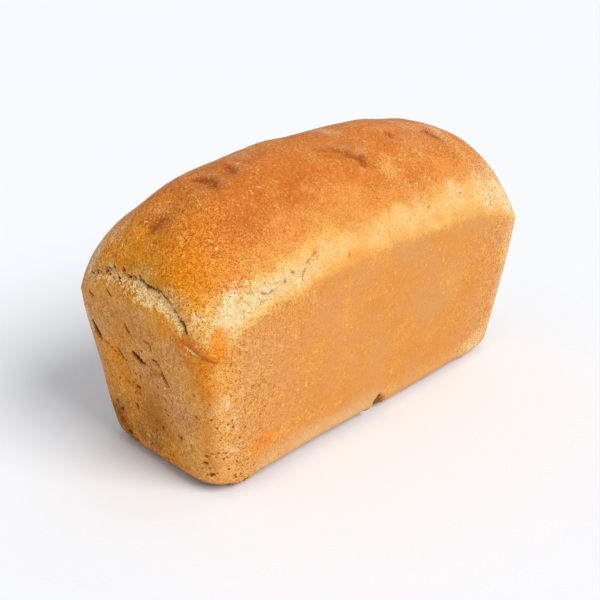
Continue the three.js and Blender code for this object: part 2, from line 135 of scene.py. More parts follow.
# Pits of the torn crust along the cracks, then pores where the dough left the tin. On an end
# wall: y, z, length, width, depth, turn; on a long wall: x, z and the same.
NEAR_END_PITS = [
    (28.9, 84.5, 2.6, 1.2, 1.8, 0.3), (25.7, 85.6, 2.4, 1.1, 1.6, 0.2),
    (23.4, 86.6, 1.6, 1, 1.4, 0.4), (18.4, 88.9, 1.8, 1.3, 2, 0.9),
    (15.9, 90.1, 2, 1.4, 2.2, 0.2), (12.9, 91.4, 2.6, 1.9, 3, -0.5),
    (16.2, 88, 1.5, 1.1, 1.6, 0.1), (5.8, 92.2, 3.2, 2.2, 3.2, 1.2),
    (9.7, 88.5, 2.2, 1.3, 2, 0.6), (7.7, 87.3, 1.6, 1.1, 1.6, 0.1),
    (2.8, 90.6, 2.2, 1.3, 2.2, -0.2), (-1.2, 91.4, 2.4, 1.5, 2.6, 0.1),
    (-4.7, 92.1, 2.8, 2, 3, 0.7), (-7, 91.4, 2.2, 1.4, 2.4, 0.2), (1, 88.1, 1.5, 1, 1.3, 0.4),
    (8.7, 28, 3.4, 2.5, 1.5, 0.8), (-15.1, 31.5, 1.8, 1.4, 1.1, 0),
    (-19.7, 24.6, 2.5, 1.7, 1.3, 0.6), (-8.2, 24.8, 2.2, 1.6, 1.2, 0.4),
    (-2.8, 20.2, 2.3, 1.5, 1.1, 0.5), (-3.2, 12.9, 2.5, 1.6, 1.1, 0.5),
    (-30.3, 37.4, 1.8, 1.4, 1, 0), (-32.7, 20.2, 3.4, 1.5, 1.3, 0.1),
    (-30.9, 16.3, 3.4, 1.6, 1.3, -0.2), (-33.8, 15.9, 3.2, 1.5, 1.3, 0.1),
    (-33, 10.7, 3, 1.5, 1.1, 0.1), (-28.5, 21.1, 1.8, 1.4, 1, 0.3),
    (-25.3, 22.8, 1.7, 1.3, 0.9, 0), (-19.9, 20, 1.7, 1.3, 0.9, 0),
    (-1.4, 16.8, 1.7, 1.3, 0.9, 0), (20.6, 8.4, 4.6, 2.2, 1.8, -0.4),
    (15.4, 6.4, 4.2, 2, 1.6, -0.3), (8, 4.2, 3, 1.6, 1.2, -0.2), (22.5, 20, 4, 2.4, 1.2, -0.7),
    (24.8, 23.6, 2.8, 1.8, 1, -0.7),
]
FAR_END_PITS = [
    (-28, 85, 2.8, 1.3, 1.9, -0.3), (-24, 86.8, 2.2, 1.5, 2, -0.5),
    (-19.5, 89.2, 3, 1.8, 2.6, 0.4), (-14, 90.6, 2, 1.4, 2, -0.2),
    (-9.5, 91.9, 2.7, 2, 2.8, -0.9), (-4, 90.8, 2.3, 1.4, 2.2, 0.1),
    (0.5, 91.8, 2.8, 1.6, 2.6, -0.4), (5, 91.2, 2.2, 1.3, 2.2, 0.2), (-9, 24, 3.1, 2.3, 1.5, 0.3),
    (14, 33, 1.8, 1.4, 0.9, 0), (21, 22, 2.3, 1.6, 1.1, 0.7), (30, 16, 3.1, 2, 1.3, 0.4),
    (27, 40, 1.7, 1.3, 0.9, 0), (-27, 30, 2.3, 1.7, 1.1, 0.5), (5, 12, 2.6, 1.8, 1.1, 0.2),
]
NEAR_SIDE_PITS = [
    (-93.7, 38.5, 2, 1.4, 0.9, 0), (-90.7, 34.8, 2.1, 1.6, 1, 0.3),
    (-83.3, 24.4, 1.8, 1.4, 0.9, 0), (-77, 34.9, 1.6, 1.3, 0.8, 0), (-72.1, 23.9, 2, 1.3, 0.9, 0),
    (-75.3, 30.3, 1.7, 1.3, 0.8, 0), (-96.2, 20.3, 1.9, 1.4, 1, 0), (-98, 23.8, 1.9, 1.4, 1, 0),
    (-2.8, 8.8, 6.6, 4.4, 3.2, 0.35), (-27, 5, 5, 1.6, 1.2, 0.1), (-34, 5.5, 4.4, 1.8, 1.1, 0.1),
]
FAR_SIDE_PITS = [
    (93, 34, 2.1, 1.6, 1, 0), (86, 27, 2.3, 1.4, 1, 0.4), (78, 38, 1.7, 1.4, 0.9, 0),
    (72, 20, 2.1, 1.6, 1, 0.2), (-58, 24, 2, 1.4, 0.9, 0), (-80, 18, 2.3, 1.6, 1, 0),
]
# Broad dents of the bottom edge, in the same terms
NEAR_END_DENTS = [
    (29, 20, 7, 5, 1.9, 0.9), (24.6, 15, 9, 4.6, 2.3, 0.8), (17.5, 6, 8, 4.6, 2.4, 0.5),
    (2, 3, 3, 2.2, 1.2, 0.2),
]
FAR_END_DENTS = [(-19, 6, 9, 5, 2, 0.8)]
NEAR_SIDE_DENTS = [
    (-93, 2.5, 5, 3.4, 2.6, 0.3), (-86, 4, 5, 3.2, 2.2, 0.3), (-1.5, 5.5, 10, 7, 3.6, 0.2),
    (-26, 3.5, 6, 2.4, 1.4, 0.1),
]
FAR_SIDE_DENTS = [(38, 6, 5.5, 3.4, 2.2, -0.4), (71, 6, 5.5, 3.4, 2.2, -0.4)]

# Short cracks in the pale band of the near long side, as strokes: x, z at both ends, bow, mouth,
# depth. The far side has the same ones at -x.
BAND_CRACKS = [
    (-56.4, 93.2, -52.3, 96.2, 0.3, 1.5, 0.7), (-53, 95.9, -47.4, 96.9, 0.4, 1.6, 0.6),
    (-82.2, 90.8, -78.2, 88.6, -0.3, 1.7, 0.9), (-78.6, 88.6, -74.6, 89.4, 0.3, 1.5, 0.8),
    (-87.4, 90.2, -83.8, 91.1, 0.4, 1.5, 0.7), (-65, 94.1, -62.4, 92.9, -0.4, 1.6, 0.8),
    (-70.4, 90.2, -67.6, 91.4, 0.2, 1.5, 0.8), (-61, 91, -56, 92.8, 0.2, 1.5, 0.7),
    (-89, 88.8, -87.8, 86.4, 0.2, 1.4, 0.7), (-33.4, 91, -31.6, 93.4, 0.2, 1.5, 0.7),
    (24, 97.6, 28.5, 98.6, 0.3, 1.5, 0.7), (52, 99, 55, 97.6, 0.3, 1.5, 0.7),
]

# Patches where the crust has its own tone, and some that are painted light and shade: x, y, z,
# radius, strength. Each has a weaker twin on the other side of the loaf, at -x, -y.
PATCHES = {
    "olive": [
        (-105.6, 11.3, 98.2, 9, 0.9), (-103, 3.3, 102.5, 8, 0.4), (-106, 22, 94, 8, 0.6),
        (-106, 16.5, 40.6, 12, 0.9), (-107.9, 18, 55, 8, 0.6), (-102.7, 2.4, 18, 12, 0.7),
        (-101, 15, 12, 10, 0.8), (-103, -12, 13, 9, 0.6), (-107.2, -27, 90, 6, 0.5),
        (-109, 0, 83, 7, 0.6), (-109, -17, 78, 7, 0.5), (-109, -31.7, 77.5, 4, 0.9),
        (-109.7, -23, 78, 5, 0.9), (-97.5, 17, 107, 8, 0.6), (-95, 5.5, 110.5, 6, 0.5),
        (-109.7, 1, 86, 5, 0.6), (-104, 13, 101, 7, 0.4), (-106, -10.2, 97.5, 5, 0.7),
        (-109.4, 0.5, 86.6, 5, 0.6), (-109.7, -8, 83, 5, 0.5), (-109.1, -24.6, 69.5, 5, 0.6),
        (-101, 3, 9, 6, 0.8),
    ],
    "golden": [
        (-102.5, -41.5, 78, 6, 0.9), (-109, -32, 75, 4, 0.8), (-98, -41, 84, 4, 0.4),
        (-50, -42, 97, 5, 1), (-65, -42, 96, 5, 0.7), (-80, -41, 94, 5, 0.6),
        (-85, -45, 85, 5, 0.5), (-108, -36, 73, 3, 0.6), (-107.6, -11, 93.5, 3, 0.9),
        (-107.6, -5, 94.5, 4, 0.9), (-107.6, -23, 91, 4, 0.6), (-101.7, -36.1, 88.7, 4, 0.7),
        (-38, -38, 103, 4, 0.6), (16, -27, 115, 9, 0.7), (30, -45.8, 91.9, 6, 0.9),
        # The last patch on this line is painted light, in the shade at the foot of the near corner
        (70, -37, 102, 8, 0.4), (74, -25, 112, 9, 0.5), (-99, -33, 11, 5, 0.9),
        (-106.4, 12, 92, 4, 0.4), (-108, 31, 82, 5, 0.6), (-108.3, 30, 84.5, 3.5, 0.4),
    ],
    "orange": [
        (-106.4, -37, 62.8, 8, 1), (-104.7, -37.4, 52.2, 6, 0.6), (-104.9, -41, 71.5, 3.5, 0.8),
        (-103.1, -34.4, 34, 7, 0.5), (-103.4, -42, 68, 4, 0.3), (-48.5, -42.2, 97, 3, 0.9),
        (-75.8, -42.5, 23.3, 7, 0.6), (-81, -44, 37.5, 5, 0.5), (-64.5, -40.8, 9, 7, 0.5),
        (-94.8, -46, 76, 6, 0.25), (-58.4, -47, 88, 4, 0.6), (-33.8, -47.2, 89.3, 7, 0.5),
        (-24.7, -47, 89.8, 6, 0.5), (-107.9, -36.3, 75.4, 4.5, 0.5), (-109.2, -29.6, 74.3, 5, 1),
        (-103, -22, 100, 9, 0.8), (-99, -30, 96, 6, 0.5), (-41, -41, 10, 6, 0.5),
        (-103.6, -35.4, 39.4, 6, 0.35), (-102, -42.5, 78, 3, 0.5), (-103, 20, 100, 7, 0.4),
        # The first patch on this line is painted light, in the shade at the foot of the near
        # corner
        (-99, -33, 11, 5, 0.4), (-81.4, -41.8, 19.5, 6, 0.5), (-107.4, -35, 65.4, 4, 0.5),
        (-103, -43, 73.5, 3.5, 0.4), (-10, -14, 126.3, 6, 0.8), (1, -20.5, 122, 6, 0.6),
        (29, -46, 92, 5, 0.7), (-92, 3, 113, 8, 0.5), (-97, 16, 108, 7, 0.4),
        (-101, -34, 21, 6, 0.5), (-102, 4, 104, 6, 0.4), (-49, -42.5, 97, 2.5, 0.5),
        (-97, 16, 108, 5, 0.35), (-102, -42, 77, 3.5, 0.35),
    ],
    "rosy": [
        (-109.6, 1.1, 72.6, 9, 0.8), (-109.1, -25.7, 68, 8, 0.7), (-106.4, -14.6, 43.6, 12, 0.9),
        (-105.2, -24.7, 35.8, 8, 0.7), (-109.2, 29, 72.4, 8, 0.6), (-101, 20, 102, 6, 0.3),
    ],
    # Whitish crust near the corners, and a painted highlight along the dome's crest
    "cream_and_highlight": [
        (-98.6, -42.1, 47.4, 5, 0.6), (-91.2, -44.5, 50.9, 4, 0.3),
        (-106.2, -34.6, 83.6, 2.6, 0.9), (-104.6, -40.2, 77.7, 2.6, 0.4),
        (-86.5, -39.5, 94.4, 4, 0.2), (76, -41, 9, 9, 0.75), (86, -41, 16, 8, 0.35),
        (70, -38, 101, 9, 0.55), (22, -39, 102, 8, 0.45), (-107, -26, 90.5, 2.6, 0.6),
        (86, -26, 109, 13, 0.3), (89, -35, 99, 10, 0.5), (89, -41, 91, 8, 0.4),
        (-108, 32, 63, 6, 0.7), (69, -15, 120, 10, 0.45), (-1, 2, 130, 8, 0.4),
        (52, -10, 126, 8, 0.35), (-46, 2, 128, 8, 0.35), (-106.5, 30, 88, 6, 0.6),
        (-101, 20, 102, 6, 0.5), (-110, 14, 86, 5, 0.4), (-97, -39.2, 24.7, 7, 0.4),
        (-96.2, -42.7, 84.5, 7, 0.7), (-91.1, -41.7, 89, 5, 0.5), (-44.9, -42, 97.3, 2, 0.4),
        (-96, -42, 38, 4, 0.5), (30, -4, 129, 8, 0.25), (65, -13, 122, 7, 0.25),
        (48, -39, 101, 6, 0.35), (-108, 22, 62, 5, 0.35), (-105.6, -29.9, 90.2, 3, 0.4),
        (-109, 15, 89, 4, 0.9), (-108, 31, 82, 5, 0.3), (-93.2, -37.1, 94.3, 5, 0.25),
        (-104.9, 26, 94.6, 5, 0.6), (-58.3, -47.2, 82, 6, 0.4), (39, -20, 120.5, 9, 0.35),
        (50, -40, 100, 9, 0.3), (-109.3, -30, 80.5, 3, 0.4), (17, -34, 109, 4, 0.2),
    ],
    # Browned crust, and painted shade in the near end's dented bottom corner and below one of its
    # slits
    "brown_and_shade": [
        (-94.6, 4.6, 111.1, 4, 0.8), (-72.5, -4.7, 122.2, 6, 0.6), (-59.5, -5.3, 125.6, 4, 0.7),
        (-71.2, -27.6, 111, 6, 0.45), (-3.1, -16.7, 124.7, 8, 0.7),
        (-37.4, -22.4, 119.5, 10, 0.4), (-101, 22.5, 8, 8, 1), (-102.7, 24.6, 18.8, 6, 1),
        (-100, 5, 4, 6, 0.3), (-102.3, -3.3, 15.5, 9, 0.5), (-102.5, 6, 16.5, 7, 0.5),
        (-106, -9, 38, 6, 0.45), (-108, -8.5, 53, 5, 0.55), (-104, -2, 29, 6, 0.55),
        (-102.2, 1.5, 15.5, 6, 0.3), (-102.5, 17, 24, 3, 0.5), (-106, -11, 98, 4, 0.4),
        (-102, 9, 14, 5, 0.5), (-11, -14, 126.5, 4, 0.6), (-103, 3, 102, 5, 0.5),
        (3, -19, 123, 5, 0.4), (-11, -13, 127, 5, 0.5), (-106.5, 8.6, 44, 7, 0.35),
        (-105.3, -2, 36, 6, 0.3), (-103.6, -9, 24, 6, 0.35), (-103.6, 8, 24, 5, 0.35),
    ],
}


def tone(red, green, blue):
    """A screen colour of 0 to 255 as the linear colour that the sockets take."""
    parts = [part / 255 for part in (red, green, blue)]
    return tuple(v / 12.92 if v <= 0.04045 else ((v + 0.055) / 1.055) ** 2.4 for v in parts)


def length(name, description, default):
    """A length, stored in metres and given here in millimetres."""
    return FloatProperty(
        name=name, description=description, default=default / MM, min=0, unit="LENGTH"
    )


def colour(name, description, default):
    """A colour of the loaf or its stage, given here as a screen colour."""
    return FloatVectorProperty(
        name=name, description=description, default=tone(*default), subtype="COLOR", min=0, max=1
    )


def strength(name, description, default):
    """The strength of a light."""
    return FloatProperty(name=name, description=description, default=default, min=0)


class LoafSizes(bpy.types.PropertyGroup):
    """The loaf's sizes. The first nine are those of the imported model."""

    rim_length: length("Rim length", "Length at the tin's rim", 220)
    rim_width: length("Rim width", "Width at the tin's rim", 95)
    base_length: length("Base length", "Length of the tin's floor", 199)
    base_width: length("Base width", "Width of the tin's floor", 79)
    rim_height: length("Rim height", "Height of the tin's rim at an end's middle", 77)
    crown_rise: length("Crown rise", "Height of the dome over the rim", 53.5)
    base_round: length("Base round", "Radius of the bottom edge", 8)
    rim_lift: length("Rim lift", "How far the rim climbs at a long side's middle", 12.2)
    corner_drop: length("Corner drop", "How far the rim falls at a corner", 9.2)
    wall_bow: length("Wall bow", "How far the walls bow outwards", 1)
    crack_top: length("Crack top", "Height of the end cracks' highest point", 91.3)
    crack_fall: length("Crack fall", "How far a crack falls to its reach", 14)
    crack_reach: length("Crack reach", "How far a crack reaches from the middle", 35)
    crack_mouth: length("Crack mouth", "Width of a crack where it is open", 1.8)
    crack_depth: length("Crack depth", "Depth of a crack where it is open", 3)
    blister_depth: length("Blister depth", "How far the blisters have sunk", 1)
    dough_grain: length("Dough grain", "Height of the crust's fine bumps", 0.16)


class LoafColours(bpy.types.PropertyGroup):
    """The crust's colours."""

    wall: colour("Wall", "Crust baked against the tin", (200, 138, 77))
    wall_deep: colour("Wall, deep", "Wall crust where it has taken more heat", (201, 130, 54))
    wall_pale: colour("Wall, pale", "Wall crust near the upright corners", (234, 168, 84))
    # Browned crust low on the end walls, and painted shade in their dented bottom corners
    wall_toasted_and_shaded: colour("Wall, toasted", "Browned crust low on the end walls", (180, 108, 6))
    end_wall: colour("End wall", "The duller crust of the end walls", (202, 136, 66))
    top: colour("Top", "Golden crust low on the dome", (206, 132, 58))
    crown: colour("Crown", "Browned crust of the upper dome", (188, 100, 28))
    glow: colour("Glow", "Orange crust of the dome's ends", (208, 120, 18))
    blister: colour("Blister", "Scorched crust of sunken blisters", (150, 68, 8))
    olive: colour("Olive", "Mustard patches of the ends", (222, 138, 12))
    golden: colour("Golden", "Golden margin of the stretched dough", (220, 166, 84))
    orange: colour("Orange", "Orange patches near the corners", (214, 123, 14))
    rosy: colour("Rosy", "Pinkish patches of the ends", (204, 138, 80))
    # Whitish crust, and a painted highlight along the dome's crest
    cream_and_highlight: colour("Cream", "Whitish patches near the corners", (222, 196, 150))
    # Browned crust, and painted shade in the dented corners and below a slit
    brown_and_shade: colour("Brown", "Browned patches of the dome and the base", (156, 90, 16))
    # Painted sheen: lighter crust on the wrinkles' ridges, the blisters' rims and the dome's crest
    painted_sheen: colour("Bloom", "Greyish bloom on raised crust", (208, 146, 104))
    stretched: colour("Stretched", "Pale dough stretched over the rim", (210, 189, 144))
    lip: colour("Lip", "Duller crust along the open cracks' lip", (214, 156, 84))
    ochre: colour("Ochre", "Yellowish crust over the cracks", (208, 136, 20))
    torn_edge: colour("Torn edge", "Golden margin of the torn dough", (222, 158, 60))
    crumb: colour("Crumb", "Torn dough in the cracks", (255, 214, 150))
    # Painted shade: the dark depths of slits, cracks, pores, crumb seams and wrinkle cores
    crevice_shade: colour("Crevice", "Depth of a slit, crack or pore", (100, 46, 0))
    spill: colour("Spill", "Dough spilled over the rim and baked darker", (204, 96, 8))
    speck: colour("Speck", "Pale specks of flour and small bubbles", (248, 192, 112))
    # Painted shade along the end walls' fine wrinkles, multiplied over their colour
    wrinkle_shade: colour("Dapple", "What the end walls' dark dapples let through", (190, 170, 130))
    underside: colour("Underside", "Crust baked on the tin's floor", (150, 86, 34))


class LoafStage(bpy.types.PropertyGroup):
    """The plain stage that the loaf stands on."""

    floor: colour("Floor", "Colour of the floor", (241, 244, 248))
    floor_size: length("Floor size", "Side of the square floor", 12000)
    key: strength("Key light", "Strength of the large soft light", 2.7)
    sky: strength("Sky", "Strength of the even light from all round", 0.55)


# ---- curves and noise on whole arrays ----


def smoothstep(value, low, high):
    """0 below low, 1 above high, and the curve 3t^2 - 2t^3 between them."""
    t = np.clip((value - low) / (high - low), 0, 1)
    return t * t * (3 - 2 * t)


def mix(start, end, share):
    """The value a share of the way from start to end."""
    return start + (end - start) * share


def bell(distance, width):
    """A bell curve, exp(-(distance / width)^2)."""
    return np.exp(-((distance / width) ** 2))


def dough_noise(points, cell, seed):
    """Smooth noise from -1 to 1.

    The corners of a cubic lattice with this cell each have a random value, from a hash of the
    corner's whole numbers and the seed. A point has the mean of its cell's eight corners,
    weighted by the curve 3t^2 - 2t^3 along each side.
    """
    scaled = points / cell
    corner = np.floor(scaled).astype(np.int64)
    t = scaled - corner
    t = t * t * (3 - 2 * t)
    total = np.zeros(len(points))
    for step in np.ndindex(2, 2, 2):
        at = corner + step
        mixed = at[:, 0] * 73856093 ^ at[:, 1] * 19349663 ^ at[:, 2] * 83492791 ^ seed * 2654435761
        mixed = (mixed ^ (mixed >> 13)) * 1274126177 & 0xFFFFFFFF
        mixed = (mixed ^ (mixed >> 16)) * 2246822519 & 0xFFFFFFFF
        value = (mixed ^ (mixed >> 15)) / 0xFFFFFFFF * 2 - 1
        total += value * np.prod(np.where(step, t, 1 - t), axis=1)
    return total


def turned(u, v, angle):
    """The coordinates u, v along and across an axis turned by an angle."""
    return u * np.cos(angle) + v * np.sin(angle), v * np.cos(angle) - u * np.sin(angle)


def stroke(u, v, mark):
    """Distances from a bowed line, for points u, v in its plane.

    The line runs from the mark's first point to its second, bowed to its left by sag * sin(pi t).
    Returns the signed distance to its left, the distance past its nearer end, and the share t.
    """
    u0, v0, u1, v1, sag = mark[:5]
    span = np.hypot(u1 - u0, v1 - v0)
    du, dv = (u1 - u0) / span, (v1 - v0) / span
    along = ((u - u0) * du + (v - v0) * dv) / span
    t = np.clip(along, 0, 1)
    left = (v - v0) * du - (u - u0) * dv - sag * np.sin(np.pi * t)
    return left, (along - t) * span, t


# ---- the plain form ----


def crowded(steps, crowd):
    """Grid lines from -1 to 1 by the curve t(1 + crowd(1 - t^2)), closer together at both ends."""
    t = np.linspace(-1, 1, steps + 1)
    return t * (1 + crowd * (1 - t * t))


def rounded_rectangle(p, q, half_length, half_width, along, across):
    """The rounded rectangle |x/a|^along + |y/b|^across = 1.

    A point p, q on the outline of the square |p|, |q| <= 1 keeps its smaller coordinate, scaled
    so that the square's corner meets the curve, and the curve gives the other.
    """
    by_end = np.abs(p) >= np.abs(q)
    x = np.sign(p) * (1 - 0.5 * np.minimum(np.abs(q), 1) ** across) ** (1 / along)
    y = np.sign(q) * (1 - 0.5 * np.minimum(np.abs(p), 1) ** along) ** (1 / across)
    return (
        half_length * np.where(by_end, x, p * 2 ** (-1 / along)),
        half_width * np.where(by_end, q * 2 ** (-1 / across), y),
    )


def wall_points(p, q, level, s):
    """The walls: rounded rectangles that lean outwards from the base to the rim.

    The first levels turn a quarter circle round the bottom edge. Above it the height grows with
    the level, and the half sizes go from the base's to the rim's with a bow of sin(pi rise).
    """
    turn = np.minimum(level * UP / ROUND, 1) * np.pi / 2
    straight = np.maximum(level * UP - ROUND, 0) / (UP - ROUND)
    straight = straight * (1 + CROWD_UP * (1 - straight))
    height = s.base_round * (1 - np.cos(turn)) + (s.rim_height - s.base_round) * straight
    rise = height / s.rim_height
    out = s.wall_bow * np.sin(np.pi * rise) - s.base_round * (1 - np.sin(turn))
    half_length = mix(s.base_length, s.rim_length, rise) / 2 + out
    half_width = mix(s.base_width, s.rim_width, rise) / 2 + out
    x, y = rounded_rectangle(p, q, half_length, half_width, *RIM_CORNER)
    return np.stack([x, y, height + 0 * x], axis=-1)


def dome_points(p, q, s):
    """The dome: rounded rectangles that close towards the crown and turn more oval.

    The ring max(|p|, |q|) gives the rise, sin((1 - ring) pi / 2), and the rise gives the half
    sizes, by (1 - rise^bulge)^(1 / shoulder).
    """
    ring = np.maximum(np.maximum(np.abs(p), np.abs(q)), 1e-9)
    rise = np.sin((1 - ring) * np.pi / 2)
    half_length = s.rim_length / 2 * (1 - rise ** END_OUTLINE[0]) ** (1 / END_OUTLINE[1])
    half_width = s.rim_width / 2 * (1 - rise ** SIDE_OUTLINE[0]) ** (1 / SIDE_OUTLINE[1])
    tight = (1 - rise) ** 2
    along = mix(CROWN_CORNER[0], RIM_CORNER[0], tight)
    across = mix(CROWN_CORNER[1], RIM_CORNER[1], tight)
    x, y = rounded_rectangle(p / ring, q / ring, half_length, half_width, along, across)
    return np.stack([x, y, s.rim_height + s.crown_rise * rise], axis=-1)


def uneven_rim(points, s):
    """Lets the rim climb along the sides and fall at the corners.

    The lift goes with (1 - along^3) across^2 and the drop with along^6 across^4. Both are whole
    at the rim and fade to nothing at the base and the crown.
    """
    x, y, z = points.T
    along = np.minimum(np.abs(x) / (s.rim_length / 2), 1)
    across = np.minimum(np.abs(y) / (s.rim_width / 2), 1)
    over = np.clip((s.rim_height + s.crown_rise - z) / s.crown_rise, 0, 1) ** 0.8
    share = np.where(z < s.rim_height, (z / s.rim_height) ** 1.5, over)
    lift = s.rim_lift * (1 - along**3) * across**2
    drop = s.corner_drop * along**6 * across**4
    return np.stack([x, y, z + (lift - drop) * share], axis=-1)


def lifted_edge(points):
    """Raises stretches of the long bottom edges off the floor.

    Each stretch starts and stops over a ramp. The lift rises across the underside from its flat
    middle, and goes up the wall with (1 - z / top)^2.
    """
    x, y, z = points.T
    lift = np.zeros(len(points))
    for side, start, stop, height, ramp in EDGE_LIFTS:
        window = smoothstep(x, start, start + ramp) * (1 - smoothstep(x, stop - ramp, stop))
        lift += height * window * smoothstep(side * y, *LIFT.across)
    return np.stack([x, y, z + lift * np.clip(1 - z / LIFT.top, 0, 1) ** 2], axis=-1)


def loaf_skin(s):
    """The plain closed skin: its points, four-sided faces, three-sided faces and rim heights.

    The dome is a grid over the square |p|, |q| <= 1. Its outline carries the walls' rings down
    to the base, then rings that shrink evenly to a pole in the middle of the underside. The rim
    height of a point is that of the rim in its own direction from the middle.
    """
    p, q = np.meshgrid(crowded(ALONG, CROWD_ALONG), crowded(ACROSS, CROWD_ACROSS), indexing="ij")
    top = np.arange(p.size).reshape(p.shape)
    dome = uneven_rim(dome_points(p.ravel(), q.ravel(), s), s)
    ring = np.maximum(np.maximum(np.abs(p), np.abs(q)), 1e-9)
    rim = uneven_rim(wall_points((p / ring).ravel(), (q / ring).ravel(), 1.0, s), s)[:, 2]

    outline = np.concatenate([top[:-1, 0], top[-1, :-1], top[:0:-1, -1], top[0, :0:-1]])
    loop_p, loop_q = p.ravel()[outline], q.ravel()[outline]
    levels = np.repeat(np.arange(UP - 1, -1, -1) / UP, len(outline))
    walls = wall_points(np.tile(loop_p, UP), np.tile(loop_q, UP), levels, s)
    walls = uneven_rim(walls, s)
    edge = walls[-len(outline):]
    shrink = 1 - np.arange(1, INWARDS + 1) / (INWARDS + 1)
    floor = (shrink[:, None, None] * edge[None]).reshape(-1, 3)

    points = np.concatenate([dome, walls, floor, [[0, 0, 0]]])
    added = np.arange(len(dome), len(points) - 1).reshape(-1, len(outline))
    rows = np.concatenate([outline[None], added])
    upper, lower = rows[:-1], rows[1:]
    quads = np.concatenate([
        np.stack([top[:-1, :-1], top[1:, :-1], top[1:, 1:], top[:-1, 1:]], -1).reshape(-1, 4),
        np.stack([lower, np.roll(lower, -1, 1), np.roll(upper, -1, 1), upper], -1).reshape(-1, 4),
    ])
    last = rows[-1]
    fan = np.stack([np.full(len(last), len(points) - 1), np.roll(last, -1), last], -1)
    rims = np.concatenate([rim, np.tile(rim[outline], UP + INWARDS), [rim.mean()]])
    return points, quads, fan, rims


def outward(points, quads, fan):
    """Unit normals at the points: the sum of the neighbouring faces' cross products."""
    across = np.cross(
        points[quads[:, 2]] - points[quads[:, 0]], points[quads[:, 3]] - points[quads[:, 1]]
    )
    flat = np.cross(points[fan[:, 1]] - points[fan[:, 0]], points[fan[:, 2]] - points[fan[:, 0]])
    corners = np.concatenate([quads.ravel(), fan.ravel()])
    pull = np.concatenate([np.repeat(across, 4, axis=0), np.repeat(flat, 3, axis=0)])
    total = np.stack(
        [np.bincount(corners, pull[:, axis], len(points)) for axis in range(3)], axis=-1
    )
    return total / np.linalg.norm(total, axis=1, keepdims=True)


# ---- broad relief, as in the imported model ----


def crack_height(across, s):
    """The crack's height: its top less a fall that goes with |(across + lean) / reach|^3."""
    return s.crack_top - s.crack_fall * np.abs((across + CRACK_LEAN) / s.crack_reach) ** 3


def fold_height(across):
    """The spilled fold's edge: its top less a fall that goes with (y / reach)^2."""
    return FOLD.top - FOLD.fall * (across / FOLD.reach) ** 2


def blister_field(x, y):
    """How far each place is sunk, and how far raised beside it, as sums of bell curves."""
    sunk, raised = np.zeros_like(x), np.zeros_like(x)
    for cx, cy, long, wide, turn in BLISTERS:
        along, across = turned(x - cx, y - cy, turn)
        sunk += bell(along, long) * bell(across, wide)
        raised += bell(along, long) * bell(across - 1.5 * wide, wide)
    return sunk, raised


def broad_relief(points, s):
    """Height of the broad relief over the plain form.

    It is the sum of a slow undulation of sines, the lip over each crack and the shelf below it,
    the step of the spilled fold, which fades out at the corner, the blisters and the swellings.
    """
    x, y, z = points.T
    crown = s.rim_height + s.crown_rise
    slow = np.sin(x / 17 + 1.3) * np.sin(z / 14 + 0.7) + np.sin(x / 9.3 + z / 11 + y / 13)
    quick = np.sin(y / 8.5 - z / 10 + 2) * np.cos(x / 11 + 0.4)
    size = mix(UNEVEN_WALL, UNEVEN_DOME, smoothstep(z, s.rim_height, s.rim_height + 28))
    height = size * (slow + quick) * smoothstep(z, 0, s.base_round)

    end = smoothstep(np.abs(x), *END_ZONE)
    across = y * np.sign(x)
    share = end * (1 - smoothstep(np.abs(y), 0.8 * s.crack_reach, 1.15 * s.crack_reach))
    over = z - crack_height(across, s)
    above = smoothstep(over, -0.8, 0.8)
    shelf = SHELF * np.clip(1 + over / 9, 0, 1) ** 1.3
    height += share * mix(-shelf, LIP * bell(over - 3, 5) - 0.6 * shelf * bell(over, 6), above)

    share = end * smoothstep(across, FOLD.start - 3, FOLD.start + 3)
    share *= 1 - smoothstep(across, FOLD.stop, FOLD.stop + 4)
    over = z - fold_height(across)
    height += share * FOLD.step * smoothstep(over, -0.6, 1.6) * bell(np.maximum(over - 2, 0), 7)

    sunk, raised = blister_field(x, y)
    on_dome = z >= crown - s.crown_rise * 2 / 3
    height += on_dome * s.blister_depth * (BLISTER_RIDGE * raised - sunk)
    for cx, cy, cz, radius, swell in SWELLS:
        height += swell * bell(np.linalg.norm(points - [cx, cy, cz], axis=1), radius)
    return height


# ---- fine relief and the masks that colour the crust ----


def slit_depth(u, v, slits):
    """Depth of strokes cut in a wall: a round-bottomed groove, tapered towards both ends."""
    depth = np.zeros_like(u)
    for slit in slits:
        left, past, t = stroke(u, v, slit)
        mouth, deep = slit[5:7]
        full = np.sin(np.pi * mix(0.08, 0.92, t)) ** 0.6
        away = np.hypot(left, past) / (mouth / 2 * full)
        depth = np.maximum(depth, deep * full * np.clip(1 - away**2, 0, 1))
    return depth


def pit_depth(u, v, pits):
    """Depth of pits: turned ovals with a round bottom."""
    depth = np.zeros_like(u)
    for cu, cv, long, wide, deep, turn in pits:
        along, across = turned(u - cu, v - cv, turn)
        away = (along * 2 / long) ** 2 + (across * 2 / wide) ** 2
        depth = np.maximum(depth, deep * np.clip(1 - away, 0, 1) ** 0.7)
    return depth


